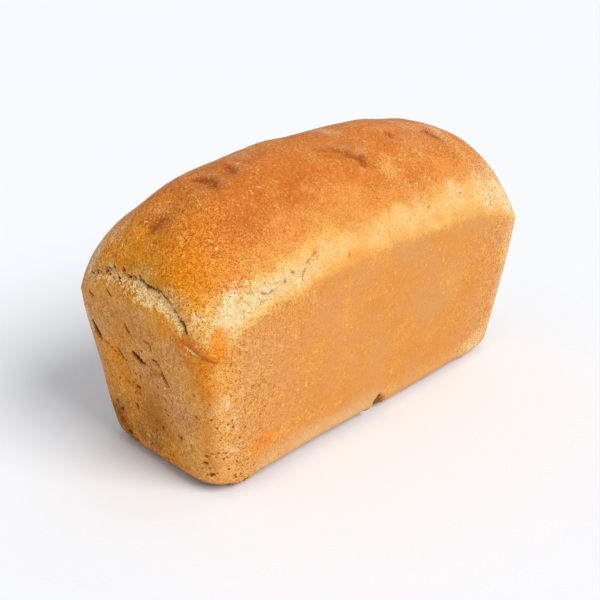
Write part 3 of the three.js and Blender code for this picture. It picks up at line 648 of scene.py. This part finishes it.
def crack_depth(points, opening, s):
    """Depth of the open crack, and the height over its wandering line.

    The line is the crack's arch, moved by noise along it and by its jogs. Over the line the
    groove closes at once, under the lip; below it the torn dough slopes back up.
    """
    x, y, z = points.T
    line = np.stack([0 * y, y, 0 * y + np.sign(x)], axis=-1)
    wander = 0.45 * dough_noise(line, 4.3, 11) + 0.35 * dough_noise(line, 1.5, 12)
    across = y * np.sign(x)
    for at, width, height in CRACK_JOGS:
        wander += height * bell(across - at, width)
    over = z - crack_height(across, s) - wander
    t = (y - opening[0]) / (opening[1] - opening[0])
    inside = (t > 0) & (t < 1)
    full = np.sin(np.pi * mix(0.04, 0.96, np.clip(t, 0, 1))) ** 0.9
    ragged = 0.85 + 0.3 * dough_noise(line, 2.1, 13)
    half = s.crack_mouth / 2 * full * ragged
    upper = np.clip(1 - (over / (0.9 * half)) ** 2, 0, 1)
    lower = np.clip(1 + over / (1.3 * half), 0, 1) ** 1.6
    return inside * s.crack_depth * full * np.where(over > 0, upper, lower), over


def slit_on_far_end(slit):
    """The same slit on the other half of the far end wall, 6 mm lower."""
    y0, z0, y1, z1 = slit[:4]
    return (4 - y0, z0 - 6, 4 - y1, z1 - 6, -slit[4], *slit[5:])


def survey(points, normals, rims):
    """What the cuts and masks read at each point: its place, the way it faces and three noises.

    "across" is y towards the open half of an end's crack, "heading" is x towards the end where a
    side's pale band is wide, and "edge_on" is how much of a wall's facing is along the loaf.
    """
    x, y, z = points.T
    flat = np.hypot(normals[:, 0], normals[:, 1]) + 1e-6
    edge_on = np.abs(normals[:, 0]) / flat
    facing_end = smoothstep(edge_on, 0.5, 0.85)
    return SimpleNamespace(
        points=points, x=x, y=y, z=z, across=y * np.sign(x), heading=-x * np.sign(y),
        over_rim=z - rims, edge_on=edge_on, squarely=smoothstep(edge_on, 0.86, 0.985),
        facing_end=facing_end, facing_side=1 - facing_end, upright=smoothstep(flat, 0.15, 0.4),
        patch=dough_noise(points, 9, 21), patches=dough_noise(points, 4, 22),
        flecks=dough_noise(points, 1.7, 23),
    )


def deepen(total, here, depth):
    """Keeps the larger of two depths at the points chosen."""
    total[here] = np.maximum(total[here], depth)


def cuts(at, s):
    """Depths of the cuts, of the dents and of what gets painted shade, and the height over the
    cracks.

    An end wall has its open crack, slits and pits. A long side has its pits and, in its pale
    band, short cracks. The deepest counts at each point, and noise makes their outlines uneven.
    """
    cut, dark, dent = np.zeros((3, len(at.x)))
    over_crack = np.full(len(at.x), OFF_CRACK)
    far_slits = [slit_on_far_end(slit) for slit in SLITS[::2]]
    ends = (
        (-at.x, NEAR_OPENING, SLITS, NEAR_END_PITS, NEAR_END_DENTS),
        (at.x, FAR_OPENING, far_slits, FAR_END_PITS, FAR_END_DENTS),
    )
    for outwards, opening, slits, pits, dents in ends:
        here = (outwards > END_FROM) & (at.facing_end > 0)
        crack, over_crack[here] = crack_depth(at.points[here], opening, s)
        u, v = at.y[here] + 0.35 * at.flecks[here], at.z[here] + 0.35 * at.patches[here]
        holes = np.maximum(slit_depth(u, v, slits), pit_depth(u, v, pits))
        cut[here] = np.maximum(crack, holes)
        dark[here] = np.maximum(crack - 1.3, holes)
        dent[here] = pit_depth(u, v, dents)
    sides = (
        (-at.y, 1, NEAR_SIDE_PITS, NEAR_SIDE_DENTS),
        (at.y, -1, FAR_SIDE_PITS, FAR_SIDE_DENTS),
    )
    for outwards, sign, pits, dents in sides:
        here = (outwards > SIDE_FROM) & (at.facing_side > 0.3) & (at.z < PITS_TO)
        u, v = at.x[here] + 0.3 * at.flecks[here], at.z[here]
        deepen(cut, here, pit_depth(u, v, pits))
        deepen(dark, here, cut[here])
        deepen(dent, here, pit_depth(u, v, dents))
        here = (outwards > SIDE_FROM) & (at.z > BAND_FROM)
        u, v = at.x[here] + 0.5 * at.flecks[here], at.z[here] + 0.5 * at.patches[here]
        cracks = [(sign * x0, z0, sign * x1, z1, sign * bow, mouth, deep)
                  for x0, z0, x1, z1, bow, mouth, deep in BAND_CRACKS]
        deepen(cut, here, slit_depth(u, v, cracks))
        deepen(dark, here, cut[here])
    return cut, dark, dent, over_crack


def torn_dough(at, over_crack, s):
    """Masks of the torn dough under each crack, brightest where the crack is open.

    The torn strip starts at the crack and fades downwards over a ragged width, which is smaller
    towards the sides. Paler wall lies below it, and a duller lip over the crack.
    """
    aside = np.abs(at.y)
    reach = at.facing_end * (1 - smoothstep(aside, 0.98 * s.crack_reach, 1.12 * s.crack_reach))
    open_half = smoothstep(at.across, -6, 8)
    under = -over_crack
    strip = mix(7, 3.4, smoothstep(aside, 14, 35)) + 2.6 * at.patches + at.flecks
    torn = reach * smoothstep(under, -0.4, 0.5)
    torn *= 1 - smoothstep(under, 0.35 * strip, 1.6 * strip)
    torn *= mix(0.5, 1, open_half) * (1 - smoothstep(aside, 29, 32))
    # Where the crack's slot of painted shade is drawn
    crevice_shade = at.facing_end * mix(0.44, 1, smoothstep(at.across, 3, 10))
    crevice_shade *= (np.abs(over_crack) < LINE_RANGE) * (1 - smoothstep(aside, 31.5, 34))
    below = reach * smoothstep(under, 0, 4) * (1 - smoothstep(under + 4 * at.patch, 9, 19))
    lip = reach * open_half * bell(over_crack - 3.5 + at.patch, 4)
    return {
        "torn": torn,
        "crevice_shade": crevice_shade,
        "over_crack": np.clip(over_crack, -LINE_RANGE, LINE_RANGE),
        "below": below * mix(0.5, 1, open_half),
        "lip": lip * mix(0.2, 1, smoothstep(aside, 15, 25)),
    }


def stretched_dough(at):
    """Masks of the pale band along each side's rim, and of the pale foot of each side.

    The band widens towards one end and is palest near both. The foot lies low on the wall, and
    goes up it at the end where the band is wide.
    """
    width = 9 + 6.5 * smoothstep(at.heading, 10, 100)
    wave = 1.6 * at.patch + 1.2 * at.patches
    band = smoothstep(at.over_rim + wave, -5, 7)
    band *= 1 - smoothstep(at.over_rim + 1.5 * wave, width - 4, width + 8)
    peak = 0.5 + 0.5 * bell(at.heading + 88, 38) + 0.12 * bell(at.heading - 18, 18)
    foot = smoothstep(20 - at.z + at.patch, 0, 11) * smoothstep(at.heading, -92, -70)
    foot *= mix(1, 0.4, smoothstep(at.heading, -25, 5))
    foot = np.maximum(foot, smoothstep(at.heading + 3 * at.patch, 84, 96)) * (at.over_rim < 0)
    return {
        "stretched": band * at.facing_side * (peak + 0.55 * bell(at.heading - 100, 24)),
        "foot": at.facing_side * foot,
    }


def browned_dome(at):
    """Depth of the dome's wrinkles, and the masks of its browning.

    A wrinkle is a groove along its stroke with a low ridge on its left: bell curves, full in the
    stroke's middle. The crust is scorched along it and in the blisters, and a painted sheen lies
    on the ridge and the crest. The browning grows from the rim, and the ends of the dome glow.
    """
    wrinkle, painted_sheen, scorch = np.zeros((3, len(at.x)))
    u = at.x + 0.7 * at.patches + 0.4 * at.flecks
    v = at.y + 0.7 * at.patch - 0.5 * at.flecks
    for mark in WRINKLES:
        left, past, t = stroke(u, v, mark)
        wide, deep = mark[5:7]
        full = deep * np.sin(np.pi * mix(0.1, 0.9, t)) * bell(past, wide)
        wrinkle += full * (0.9 * bell(left, wide * 0.8) - 0.4 * bell(left - 1.7 * wide, wide))
        painted_sheen += full * bell(left - 1.8 * wide, wide * 1.1)
        scorch += full * bell(left + 0.7 * wide, wide * 1.7)
    on_dome = smoothstep(at.z, 98, 108)
    sunk, raised = blister_field(at.x, at.y)
    crest = smoothstep(at.z + 3 * at.patch, 118, 130)
    dome = smoothstep(at.over_rim + 2 * at.patch, 4, 16)
    return wrinkle * on_dome, {
        "dome": dome,
        "crown": smoothstep(at.over_rim + 4 * at.patch, 14, 36),
        "glow": dome * smoothstep(np.abs(at.x) + 5 * at.patch, 70, 104),
        "scorch": on_dome * np.clip((1 + 0.4 * at.flecks) * scorch + 0.3 * sunk, 0, 1),
        "painted_sheen": on_dome * np.clip(painted_sheen + 0.1 * raised + 0.18 * crest, 0, 1),
    }


def spilled_fold(at):
    """Masks of the fold at two opposite corners: its edge, the darker spill on it, its fringe."""
    over_fold = at.z - fold_height(at.across)
    at_fold = smoothstep(np.abs(at.x), 92, 104)
    at_fold *= smoothstep(at.across, FOLD.start, FOLD.start + 4)
    at_fold *= 1 - smoothstep(at.across, FOLD.stop - 1, FOLD.stop + 3)
    spill = smoothstep(over_fold, -0.8, 0.8) * bell(np.maximum(over_fold - 1, 0), 2.8)
    fringe = smoothstep(at.across, 30, 32) * (1 - smoothstep(at.across, 34, 38))
    return {
        "over_fold": np.clip(over_fold, -LINE_RANGE, LINE_RANGE),
        "at_fold": at_fold,
        "spill": at_fold * spill,
        "frayed": at_fold * fringe,
    }


def end_tones(at, torn):
    """Masks of the ends: yellowish crust round the cracks, browned walls with painted shade in a
    dented corner, lit and pale walls, pores.

    Each is a product of smooth steps and bell curves of the place, made uneven by noise. The
    last mask is how coarse the grain is, which grows towards both ends.
    """
    ochre = at.facing_end * smoothstep(at.over_rim + 3 * at.patch, -2, 8) * (1 - torn)
    low = smoothstep(58 - at.z + 8 * at.patch, 0, 40) * bell(at.across + 4 * at.patch + 4, 24)
    # The dented bottom corner, darkened as painted shade
    corner = bell(at.z - 12 + 4 * at.patch, 11) * bell(at.across + 28, 12)
    pores = smoothstep(np.abs(at.x) + 6 * at.patch, 74, 92) * smoothstep(62 - at.z, 0, 26)
    pores = np.clip(pores + 0.35 * at.facing_end * smoothstep(66 - at.z, 0, 20), 0, 1)
    return {
        "ochre": ochre * (1 - smoothstep(at.z + 3 * at.patch, 98, 112)),
        "toasted_and_dent_shade": at.squarely * np.maximum(low, corner),
        "end_wall": at.squarely * (1 - smoothstep(at.over_rim, 2, 12)),
        "lit_end": at.squarely * smoothstep(at.across + 3 * at.patch, 6, 34),
        "pale_corner": bell(at.edge_on - 0.62, 0.3) * smoothstep(at.over_rim, 0, -6),
        "pores": pores * at.upright,
        "coarse": smoothstep(np.abs(at.x) + 8 * at.patch, 40, 100),
    }


def fine_relief(points, normals, rims, s):
    """The height of the fine relief over the broad form, and the masks that the finish reads.

    The surface goes down in the cuts and dents, in the torn dough's crumbs and in the light grain
    all over, and both ways at the wrinkles.
    """
    at = survey(points, normals, rims)
    cut, dark, dent, over_crack = cuts(at, s)
    wrinkle, masks = browned_dome(at)
    masks.update(torn_dough(at, over_crack, s))
    masks.update(stretched_dough(at))
    masks.update(spilled_fold(at))
    masks.update(end_tones(at, masks["torn"]))
    # How much painted shade goes into the cuts
    masks["hollow"] = np.clip(dark / 2, 0, 1)
    masks["underside"] = smoothstep(-normals[:, 2], 0.45, 0.8)
    masks.update(toned_patches(points))

    grain = 0.5 * dough_noise(points, 2.3, 31) + 0.5 * at.flecks
    crumbs = np.abs(dough_noise(points * [1, 1, 1.6], 2, 32)) + 0.6 * np.abs(at.flecks)
    height = -np.maximum(cut, dent) - 0.8 * wrinkle - 0.35 * masks["torn"] * crumbs
    height -= mix(0.05, 0.12, masks["dome"]) * (1 + grain) * smoothstep(at.z, 0.2, 3)
    height[at.z <= 0] = 0
    return height, masks


def toned_patches(points):
    """Masks of the tones: for each a sum of bell curves round its patches and their twins.

    The points are moved by noise first, so that the patches have uneven outlines. A twin's
    distance is the patch's own from the point turned half round.
    """
    moved = points + 3 * np.stack([dough_noise(points, 6, seed) for seed in (41, 42, 43)], -1)
    half_round = moved * [-1, -1, 1]
    masks = {}
    for kind, patches in PATCHES.items():
        share = np.zeros(len(points))
        for x, y, z, radius, strength in patches:
            share += strength * bell(np.linalg.norm(moved - [x, y, z], axis=1), radius)
            share += 0.7 * strength * bell(np.linalg.norm(half_round - [x, y, z], axis=1), radius)
        masks[kind] = np.clip(share, 0, 1)
    return masks


# ---- meshes and materials ----


def sizes_in_millimetres(group):
    """The group's lengths as plain numbers, in millimetres."""
    names = LoafSizes.__annotations__
    return SimpleNamespace(**{name: getattr(group, name) * MM for name in names})


def put_mesh(name, points, faces, masks=None):
    """Makes an object from points in millimetres, with one float attribute for each mask."""
    mesh = bpy.data.meshes.new(name)
    mesh.from_pydata((points / MM).tolist(), [], faces)
    for mask, values in (masks or {}).items():
        layer = mesh.attributes.new(mask, "FLOAT", "POINT")
        layer.data.foreach_set("value", values.astype(np.float32))
    mesh.shade_smooth()
    mesh.update()
    piece = bpy.data.objects.new(name, mesh)
    bpy.context.scene.collection.objects.link(piece)
    return piece


class Signal:
    """One output of a node. Arithmetic on it adds the Math nodes that work it out."""

    def __init__(self, finish, socket):
        self.finish = finish
        self.socket = socket

    def __add__(self, other):
        return self.finish.maths("ADD", self, other)

    def __sub__(self, other):
        return self.finish.maths("SUBTRACT", self, other)

    def __rsub__(self, other):
        return self.finish.maths("SUBTRACT", other, self)

    def __mul__(self, other):
        return self.finish.maths("MULTIPLY", self, other)

    __radd__ = __add__
    __rmul__ = __mul__

    def over(self, low, high):
        """0 below low, 1 above high and a smooth curve between them; turned where low > high."""
        return self.finish.node(
            "ShaderNodeMapRange",
            {"interpolation_type": "SMOOTHSTEP"},
            {"Value": self, "From Min": low, "From Max": high},
        )


class Finish:
    """A material being made: its nodes all come from one method."""

    def __init__(self, name):
        self.material = bpy.data.materials.new(name)
        self.material.use_nodes = True
        self.tree = self.material.node_tree
        self.tree.nodes.clear()

    def node(self, kind, settings=None, inputs=None, output=0):
        """Adds a node with these settings, and gives its sockets values or links."""
        node = self.tree.nodes.new(kind)
        for setting, value in (settings or {}).items():
            setattr(node, setting, value)
        for socket, value in (inputs or {}).items():
            if isinstance(value, Signal):
                self.tree.links.new(value.socket, node.inputs[socket])
            else:
                node.inputs[socket].default_value = value
        return Signal(self, node.outputs[output]) if node.outputs else None

    def maths(self, operation, *values):
        """A Math node on numbers or signals."""
        return self.node("ShaderNodeMath", {"operation": operation}, dict(enumerate(values)))

    def vector(self, operation, inputs):
        """A Vector Math node."""
        return self.node("ShaderNodeVectorMath", {"operation": operation}, inputs)

    def place(self):
        """Object coordinates in millimetres."""
        metres = self.node("ShaderNodeTexCoord", output="Object")
        return self.vector("SCALE", {0: metres, "Scale": MM})

    def noise(self, place, cell, detail=2.0, roughness=0.5, distortion=0.0, output=0):
        """Noise from 0 to 1 with cells of this size."""
        sockets = {"Vector": place, "Scale": 1 / cell, "Detail": detail}
        sockets.update({"Roughness": roughness, "Distortion": distortion})
        return self.node("ShaderNodeTexNoise", {}, sockets, output)

    def streaks(self, place, cell):
        """Noise from 0 to 1 with cells that are drawn out along the end walls' wrinkles."""
        slanted = self.node(
            "ShaderNodeMapping",
            {"vector_type": "TEXTURE"},
            {"Vector": place, "Rotation": (0.93, 0, 0), "Scale": (1, 3.5, 1)},
        )
        return self.noise(slanted, cell, 3, 0.6, 0.4)

    def bent(self, place):
        """The place moved by up to 6 mm by coloured noise, for cells that aren't even."""
        noise = self.noise(place, 1 / 0.3, output="Color")
        return self.vector("ADD", {0: place, 1: self.vector("SCALE", {0: noise, "Scale": 6})})

    def cells(self, place, cell, feature="F1"):
        """Scattered cells of this size: the distance to the nearest one's middle or edge."""
        sockets = {"Vector": place, "Scale": 1 / cell}
        return self.node("ShaderNodeTexVoronoi", {"feature": feature}, sockets, "Distance")

    def mask(self, name):
        """A mask painted on the piece."""
        return self.node("ShaderNodeAttribute", {"attribute_name": name}, output="Fac")

    def mix(self, share, start, end, blend="MIX"):
        """Mixes two colours."""
        settings = {"data_type": "RGBA", "blend_type": blend, "clamp_factor": True}
        ends = {6: opaque(start), 7: opaque(end)}
        return self.node("ShaderNodeMix", settings, {0: share, **ends}, 2)

    def shader(self, sockets):
        """The Principled shader and the output."""
        surface = self.node("ShaderNodeBsdfPrincipled", {}, sockets)
        self.node("ShaderNodeOutputMaterial", {}, {"Surface": surface})
        return self.material


def opaque(value):
    """A colour as a socket takes it, with its alpha."""
    return value if isinstance(value, Signal) else (*value, 1.0)


class CrustFinish(Finish):
    """The crust: its colours laid on one over the other by the masks, each broken up by noise.

    The noises from wide to dust run from -0.5 to 0.5, with finer and finer cells.
    """

    def __init__(self, colours):
        super().__init__("baked_crust")
        self.colours = colours
        self.base = colours.wall
        self.at = place = self.place()
        self.wide = self.noise(place, 34) - 0.5
        self.cloud = self.noise(place, 14, 3, 0.55) - 0.5
        self.mottle = self.noise(place, 3.2, 3, 0.6) - 0.5
        self.blot = self.noise(place, 1.9, 2, 0.6) - 0.5
        self.grain = self.noise(place, 1.1, 2, 0.6) - 0.5
        self.dust = self.noise(place, 0.55, 1) - 0.5
        self.fray = (self.mottle + self.grain) * 0.5
        self.slant = self.streaks(place, 1.5)
        self.uneven = self.bent(place)

    def lay(self, share, name, blend="MIX"):
        """Lays a share of one of the loaf's colours over the colour so far."""
        self.base = self.mix(share, self.base, getattr(self.colours, name), blend)

    def largest(self, first, *others):
        """The largest of some signals."""
        for other in others:
            first = self.maths("MAXIMUM", first, other)
        return first

    def lay_walls(self):
        """The walls and the underside: mottled, paler near the corners, with painted light and
        shade on the ends' fine wrinkles.
        """
        mask, cloud, fray = self.mask, self.cloud, self.fray
        self.lay(self.wide * 3.6 + cloud * 2.8 + self.mottle * 1.8 + 0.45, "wall_deep")
        self.lay(mask("pale_corner") * (cloud * 0.8 + 0.7), "wall_pale")
        end_wall = (mask("end_wall") + fray * 0.3).over(0.1, 0.9)
        self.lay(end_wall * 0.9, "end_wall")
        # Painted shade on one side of the end walls' fine wrinkles, painted light on the other
        self.lay((self.slant - 0.54) * 4.5 * end_wall, "wrinkle_shade", "MULTIPLY")
        self.lay((0.48 - self.slant) * 4 * end_wall, "wall_pale")
        self.lay((0.04 - cloud) * 3.2 * end_wall, "olive")
        self.lay(cloud * 3 * end_wall, "rosy")
        # lit_end is painted light on one half of each end wall; below is the paler wall under the
        # torn dough
        pale = self.largest(mask("lit_end") * 0.7, mask("below"))
        self.lay(pale * (cloud * 0.8 + 0.9), "wall_pale")
        self.lay(mask("foot") * (self.mottle * 0.6 + 0.45), "stretched")
        # Browned low on the ends, with painted shade in the dented corners
        self.lay((mask("toasted_and_dent_shade") + fray * 1.2 * end_wall).over(0.05, 0.9), "wall_toasted_and_shaded")
        self.lay(mask("underside"), "underside")

    def lay_dome(self):
        """The dome, browned in patches, with the glow and the yellowish crust of its ends."""
        mask, cloud, fray = self.mask, self.cloud, self.fray
        dome = (mask("dome") + fray).over(0.05, 0.95)
        self.lay(dome, "top")
        crown = mask("crown") + self.wide * 3 + cloud * 2.4 + self.mottle * 3.2 + self.blot * 1.6
        self.lay(crown * dome, "crown")
        self.lay(mask("glow") * 0.8, "glow")
        self.lay((mask("ochre") + cloud * 1.4 + fray).over(0.25, 1.1) * 0.8, "ochre")
        self.lay((mask("lip") + fray * 1.2).over(0.1, 1), "lip")
        return dome

    def lay_patches(self):
        """The patches with a tone of their own, some of them painted light and shade, and the
        stretched dough with its stains.
        """
        for kind in ("olive", "rosy", "brown_and_shade"):
            patch = self.mask(kind) * (self.cloud * 1.8 + 1.1) + self.fray * 1.4
            self.lay(patch.over(0.1, 1) * 0.9, kind)
        stretched = self.mask("stretched") + self.fray * 0.7 + self.cloud * 0.9
        self.lay(stretched.over(-0.1, 0.55) * 0.85, "golden")
        stretched = stretched.over(0.22, 1.15)
        self.lay(stretched, "stretched")
        stains = (self.slant * 0.6 + self.blot * 0.4).over(0.29, 0.44)
        self.lay(stretched * stains * 0.55, "top")
        # Cream includes a painted highlight along the dome's crest
        for kind in ("golden", "orange", "cream_and_highlight"):
            self.lay((self.mask(kind) + self.fray * 1.4).over(0.1, 1.1) * 0.85, kind)
        return stretched

    def lay_scorch(self):
        """The darker spill on the fold, a painted sheen on raised crust, the scorched wrinkles."""
        scorch, fray = self.mask("scorch"), self.fray
        self.lay(self.mask("spill") * (fray + 0.8), "spill")
        # A painted sheen on the wrinkles' ridges, the blisters' rims and the crest
        self.lay((self.mask("painted_sheen") + fray * 0.6) * 0.45, "painted_sheen")
        self.lay((scorch + fray * 1.4 + self.blot * 1.8).over(0.15, 1) * 0.75, "blister")
        # Painted shade in the cores of the scorched wrinkles
        self.lay((scorch + fray * 1.2).over(0.7, 1.05) * 0.25, "crevice_shade")

    def lay_torn_dough(self):
        """The torn dough with its wisps and crumbs. Returns it, and the painted shade of its seams
        and of the crack's slot.
        """
        mask, blot = self.mask, self.blot
        torn = mask("torn") + self.fray * 2.2 + blot * 1.2
        self.lay(torn.over(0, 0.6) * mask("torn").over(0, 0.15) * 0.8, "torn_edge")
        torn = torn.over(0.25, 0.9)
        self.lay(torn, "crumb")
        wisps = self.noise(self.at, 1.6, 2, 0.5, 2.5).over(0.42, 0.62)
        crumbs = self.cells(self.uneven, 1.6).over(0.35, 0.7)
        self.lay(torn * (wisps * 0.18 + crumbs * 0.22), "ochre")
        seams = self.cells(self.uneven, 1.9, "DISTANCE_TO_EDGE").over(0.1, 0.02) * wisps
        # The crack's slot: a ragged line of painted shade just under the lip
        ragged = mask("over_crack") + self.grain * 2.4 + self.dust * 1.2 + blot * 2.4
        slot = ragged.over(-1.15, -0.7) * ragged.over(0.85, 0.3)
        slot = slot * (mask("crevice_shade") + blot * 1.6).over(0.3, 0.75)
        return torn, seams * torn, slot * mask("crevice_shade").over(0, 0.2)

    def lay_fold(self):
        """The fold's dark edge, and the pale fringe of torn threads under it."""
        edge = self.mask("over_fold") + self.grain * 2.2 + self.dust
        fringe = self.maths("ABSOLUTE", edge + 1.3).over(0.9, 0.3)
        self.lay(fringe * self.mask("frayed") * 0.75, "crumb")
        edge = self.maths("ABSOLUTE", edge).over(0.8, 0.2)
        self.lay(edge * self.mask("at_fold").over(0.2, 0.8) * 0.6, "blister")

    def lay_specks(self, dome):
        """Pale specks on the dome, more of them towards its ends and in the blisters."""
        chance = self.noise(self.at, 6, 1)
        chance = chance + self.mask("coarse") * 0.08 + self.mask("scorch") * 0.25
        specks = self.cells(self.at, 1.7).over(0.24, 0.1) * chance.over(0.42, 0.66) * dome
        self.lay(specks * 0.55, "speck")
        return specks

    def lay_hollows(self, seams, slot):
        """Pores, then painted shade in them, the cuts, the seams, the crack's slot and the
        stretched dough's fine cracks.
        """
        web = self.cells(self.uneven, 7, "DISTANCE_TO_EDGE").over(0.03, 0.008)
        gaps = self.noise(self.at, 4.5, 1).over(0.53, 0.6)
        fine = web * gaps * self.mask("stretched").over(0.35, 0.8)
        pores = (self.cells(self.at, 3.2) + self.fray * 0.12).over(0.26, 0.14)
        pores = pores * self.noise(self.at, 5, 1).over(0.41, 0.53) * self.mask("pores")
        self.lay(pores, "brown_and_shade")
        hollow = self.mask("hollow")
        hollow = (hollow + self.fray * 0.4).over(0.08, 0.5) * hollow.over(0, 0.1)
        dark = self.largest(hollow, fine * 0.6, pores * 0.3, slot, seams * 0.3)
        self.lay(dark * 0.9, "crevice_shade")
        return dark

    def lay_grain(self, dome, stretched):
        """Light and dark grain over everything, coarser towards the ends."""
        coarse = self.mask("coarse") * 0.75 + dome * 0.2 + 0.28
        coarse = coarse * (self.cloud * 1.7 + 1.05) * (1 - stretched * 0.35)
        flicker = (self.dust * 0.9 + self.grain * 0.6 + self.blot * 0.7) * coarse
        inputs = {0: flicker, 1: (1, 1.5, 2.4), 2: (1, 1, 1)}
        self.base = self.mix(1.0, self.base, self.vector("MULTIPLY_ADD", inputs), "MULTIPLY")


def crust_finish(colours, sizes):
    """The crust's material: the colours in their order, a fine bump and the roughness."""
    crust = CrustFinish(colours)
    crust.lay_walls()
    dome = crust.lay_dome()
    stretched = crust.lay_patches()
    crust.lay_scorch()
    torn, seams, slot = crust.lay_torn_dough()
    crust.lay_fold()
    specks = crust.lay_specks(dome)
    dark = crust.lay_hollows(seams, slot)
    crust.lay_grain(dome, stretched)

    height = crust.grain * 0.6 + crust.dust * 0.3 + crust.mottle * 0.6
    height = height * (dome * 0.45 + torn * 0.7 + 0.55) - dark * 1.2 + specks * 0.15
    fine = {"Strength": 0.6, "Distance": sizes.dough_grain / MM * 2, "Height": height}
    rough = crust.mottle * 0.2 + stretched * 0.12 + torn * 0.2 - dome * 0.06 + 0.62
    return crust.shader({
        "Base Color": crust.base,
        "Roughness": rough,
        "Normal": crust.node("ShaderNodeBump", {}, fine),
        "Specular IOR Level": 0.1,
        "Sheen Weight": 0.18,
        "Sheen Roughness": 0.2,
        "Sheen Tint": (1, 0.88, 0.76, 1),
    })


def floor_finish(floor_colour):
    """The floor: plain and matt, with a trace of unevenness."""
    finish = Finish("studio_floor")
    darker = [part * 0.98 for part in floor_colour]
    base = finish.mix(finish.noise(finish.place(), 400), floor_colour, darker)
    return finish.shader({"Base Color": base, "Roughness": 0.9, "Specular IOR Level": 0.2})


# ---- operators ----


class LOAF_OT_build(bpy.types.Operator):
    """Build the loaf as one closed surface and give it its crust's material"""

    bl_idname = "tin_loaf.build"
    bl_label = "Build Loaf"
    bl_options = {"REGISTER", "UNDO"}

    def execute(self, context):
        s = sizes_in_millimetres(context.scene.loaf_sizes)
        points, quads, fan, rims = loaf_skin(s)
        points = lifted_edge(points)
        standing = points[:, 2] > 0
        normals = outward(points, quads, fan)
        points[standing] += (normals * broad_relief(points, s)[:, None])[standing]
        middle = (points.min(axis=0) + points.max(axis=0)) / 2
        points[:, :2] -= middle[:2]
        normals = outward(points, quads, fan)
        height, masks = fine_relief(points, normals, rims, s)
        points[standing] += (normals * height[:, None])[standing]
        points[:, 2] = np.maximum(points[:, 2], 0)
        loaf = put_mesh("tin_loaf", points, quads.tolist() + fan.tolist(), masks)
        loaf.data.materials.append(crust_finish(context.scene.loaf_colours, s))
        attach(loaf, "root")
        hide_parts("loaf")
        return {"FINISHED"}


class LOAF_OT_stage(bpy.types.Operator):
    """Lay the floor and place the lights and the camera"""

    bl_idname = "tin_loaf.stage"
    bl_label = "Set Stage"
    bl_options = {"REGISTER", "UNDO"}

    def execute(self, context):
        stage = context.scene.loaf_stage
        half = stage.floor_size / 2 * MM
        corners = half * np.array([[-1, -1, 0], [1, -1, 0], [1, 1, 0], [-1, 1, 0]])
        floor = put_mesh("floor", corners, [[0, 1, 2, 3]])
        floor.data.materials.append(floor_finish(stage.floor))

        soft_light("key", (0.15, -1.3, 1.15), 0.6, stage.key, (1.0, 0.97, 0.93))
        world = bpy.data.worlds.new("studio")
        world.use_nodes = True
        sky = world.node_tree.nodes["Background"]
        sky.inputs["Color"].default_value = (0.96, 0.99, 1.04, 1.0)
        sky.inputs["Strength"].default_value = stage.sky
        context.scene.world = world
        context.scene.view_settings.view_transform = "Standard"
        place_camera(context.scene)
        return {"FINISHED"}


def soft_light(name, place, spread, strength, tint):
    """A large far light that shines from this side of the loaf, spread over an angle."""
    light = bpy.data.lights.new(name, "SUN")
    light.angle = spread
    light.energy = strength
    light.color = tint
    lamp = bpy.data.objects.new(name, light)
    lamp.location = place
    lamp.rotation_euler = Vector(place).to_track_quat("Z", "Y").to_euler()
    bpy.context.scene.collection.objects.link(lamp)


def place_camera(scene):
    """The camera: turned round its aim, raised, rolled, and moved right and up in its plane."""
    azimuth, elevation, roll = np.radians((-46.57, 24.17, 0.52))
    aim, distance, right_shift, up_shift = [0, 0, 0.065], 0.42955, -0.00953, -0.01651
    level = np.array([np.cos(azimuth), np.sin(azimuth), 0])
    towards = np.array([np.sin(azimuth), -np.cos(azimuth), 0])
    back = towards * np.cos(elevation) + np.array([0, 0, np.sin(elevation)])
    up = np.cross(back, level)
    right = level * np.cos(roll) + up * np.sin(roll)
    upright = up * np.cos(roll) - level * np.sin(roll)
    eye = aim + back * distance + right * right_shift + upright * up_shift
    data = bpy.data.cameras.new("camera")
    data.sensor_width = 36.0
    data.lens = 53.93
    data.clip_start = 0.01
    camera = bpy.data.objects.new("camera", data)
    axes = Matrix(np.stack([right, upright, back], axis=1).tolist()).to_4x4()
    camera.matrix_world = Matrix.Translation(Vector(eye)) @ axes
    scene.collection.objects.link(camera)
    scene.camera = camera


class LOAF_PT_panel(bpy.types.Panel):
    """The loaf's sizes, colours and operators"""

    bl_label = "Tin Loaf"
    bl_idname = "LOAF_PT_panel"
    bl_space_type = "VIEW_3D"
    bl_region_type = "UI"
    bl_category = "Tin Loaf"

    def draw(self, context):
        layout = self.layout
        for group in (context.scene.loaf_sizes, context.scene.loaf_colours):
            box = layout.box()
            for name in type(group).__annotations__:
                box.prop(group, name)
        layout.operator(LOAF_OT_build.bl_idname)
        box = layout.box()
        for name in LoafStage.__annotations__:
            box.prop(context.scene.loaf_stage, name)
        layout.operator(LOAF_OT_stage.bl_idname)


CLASSES = (LoafSizes, LoafColours, LoafStage, LOAF_OT_build, LOAF_OT_stage, LOAF_PT_panel)


def register():
    for item in CLASSES:
        bpy.utils.register_class(item)
    bpy.types.Scene.loaf_sizes = PointerProperty(type=LoafSizes)
    bpy.types.Scene.loaf_colours = PointerProperty(type=LoafColours)
    bpy.types.Scene.loaf_stage = PointerProperty(type=LoafStage)


def unregister():
    del bpy.types.Scene.loaf_stage
    del bpy.types.Scene.loaf_colours
    del bpy.types.Scene.loaf_sizes
    for item in reversed(CLASSES):
        bpy.utils.unregister_class(item)


def main():
    register()
    bpy.ops.tin_loaf.build()
    bpy.ops.tin_loaf.stage()


if __name__ == "__main__":
    main()
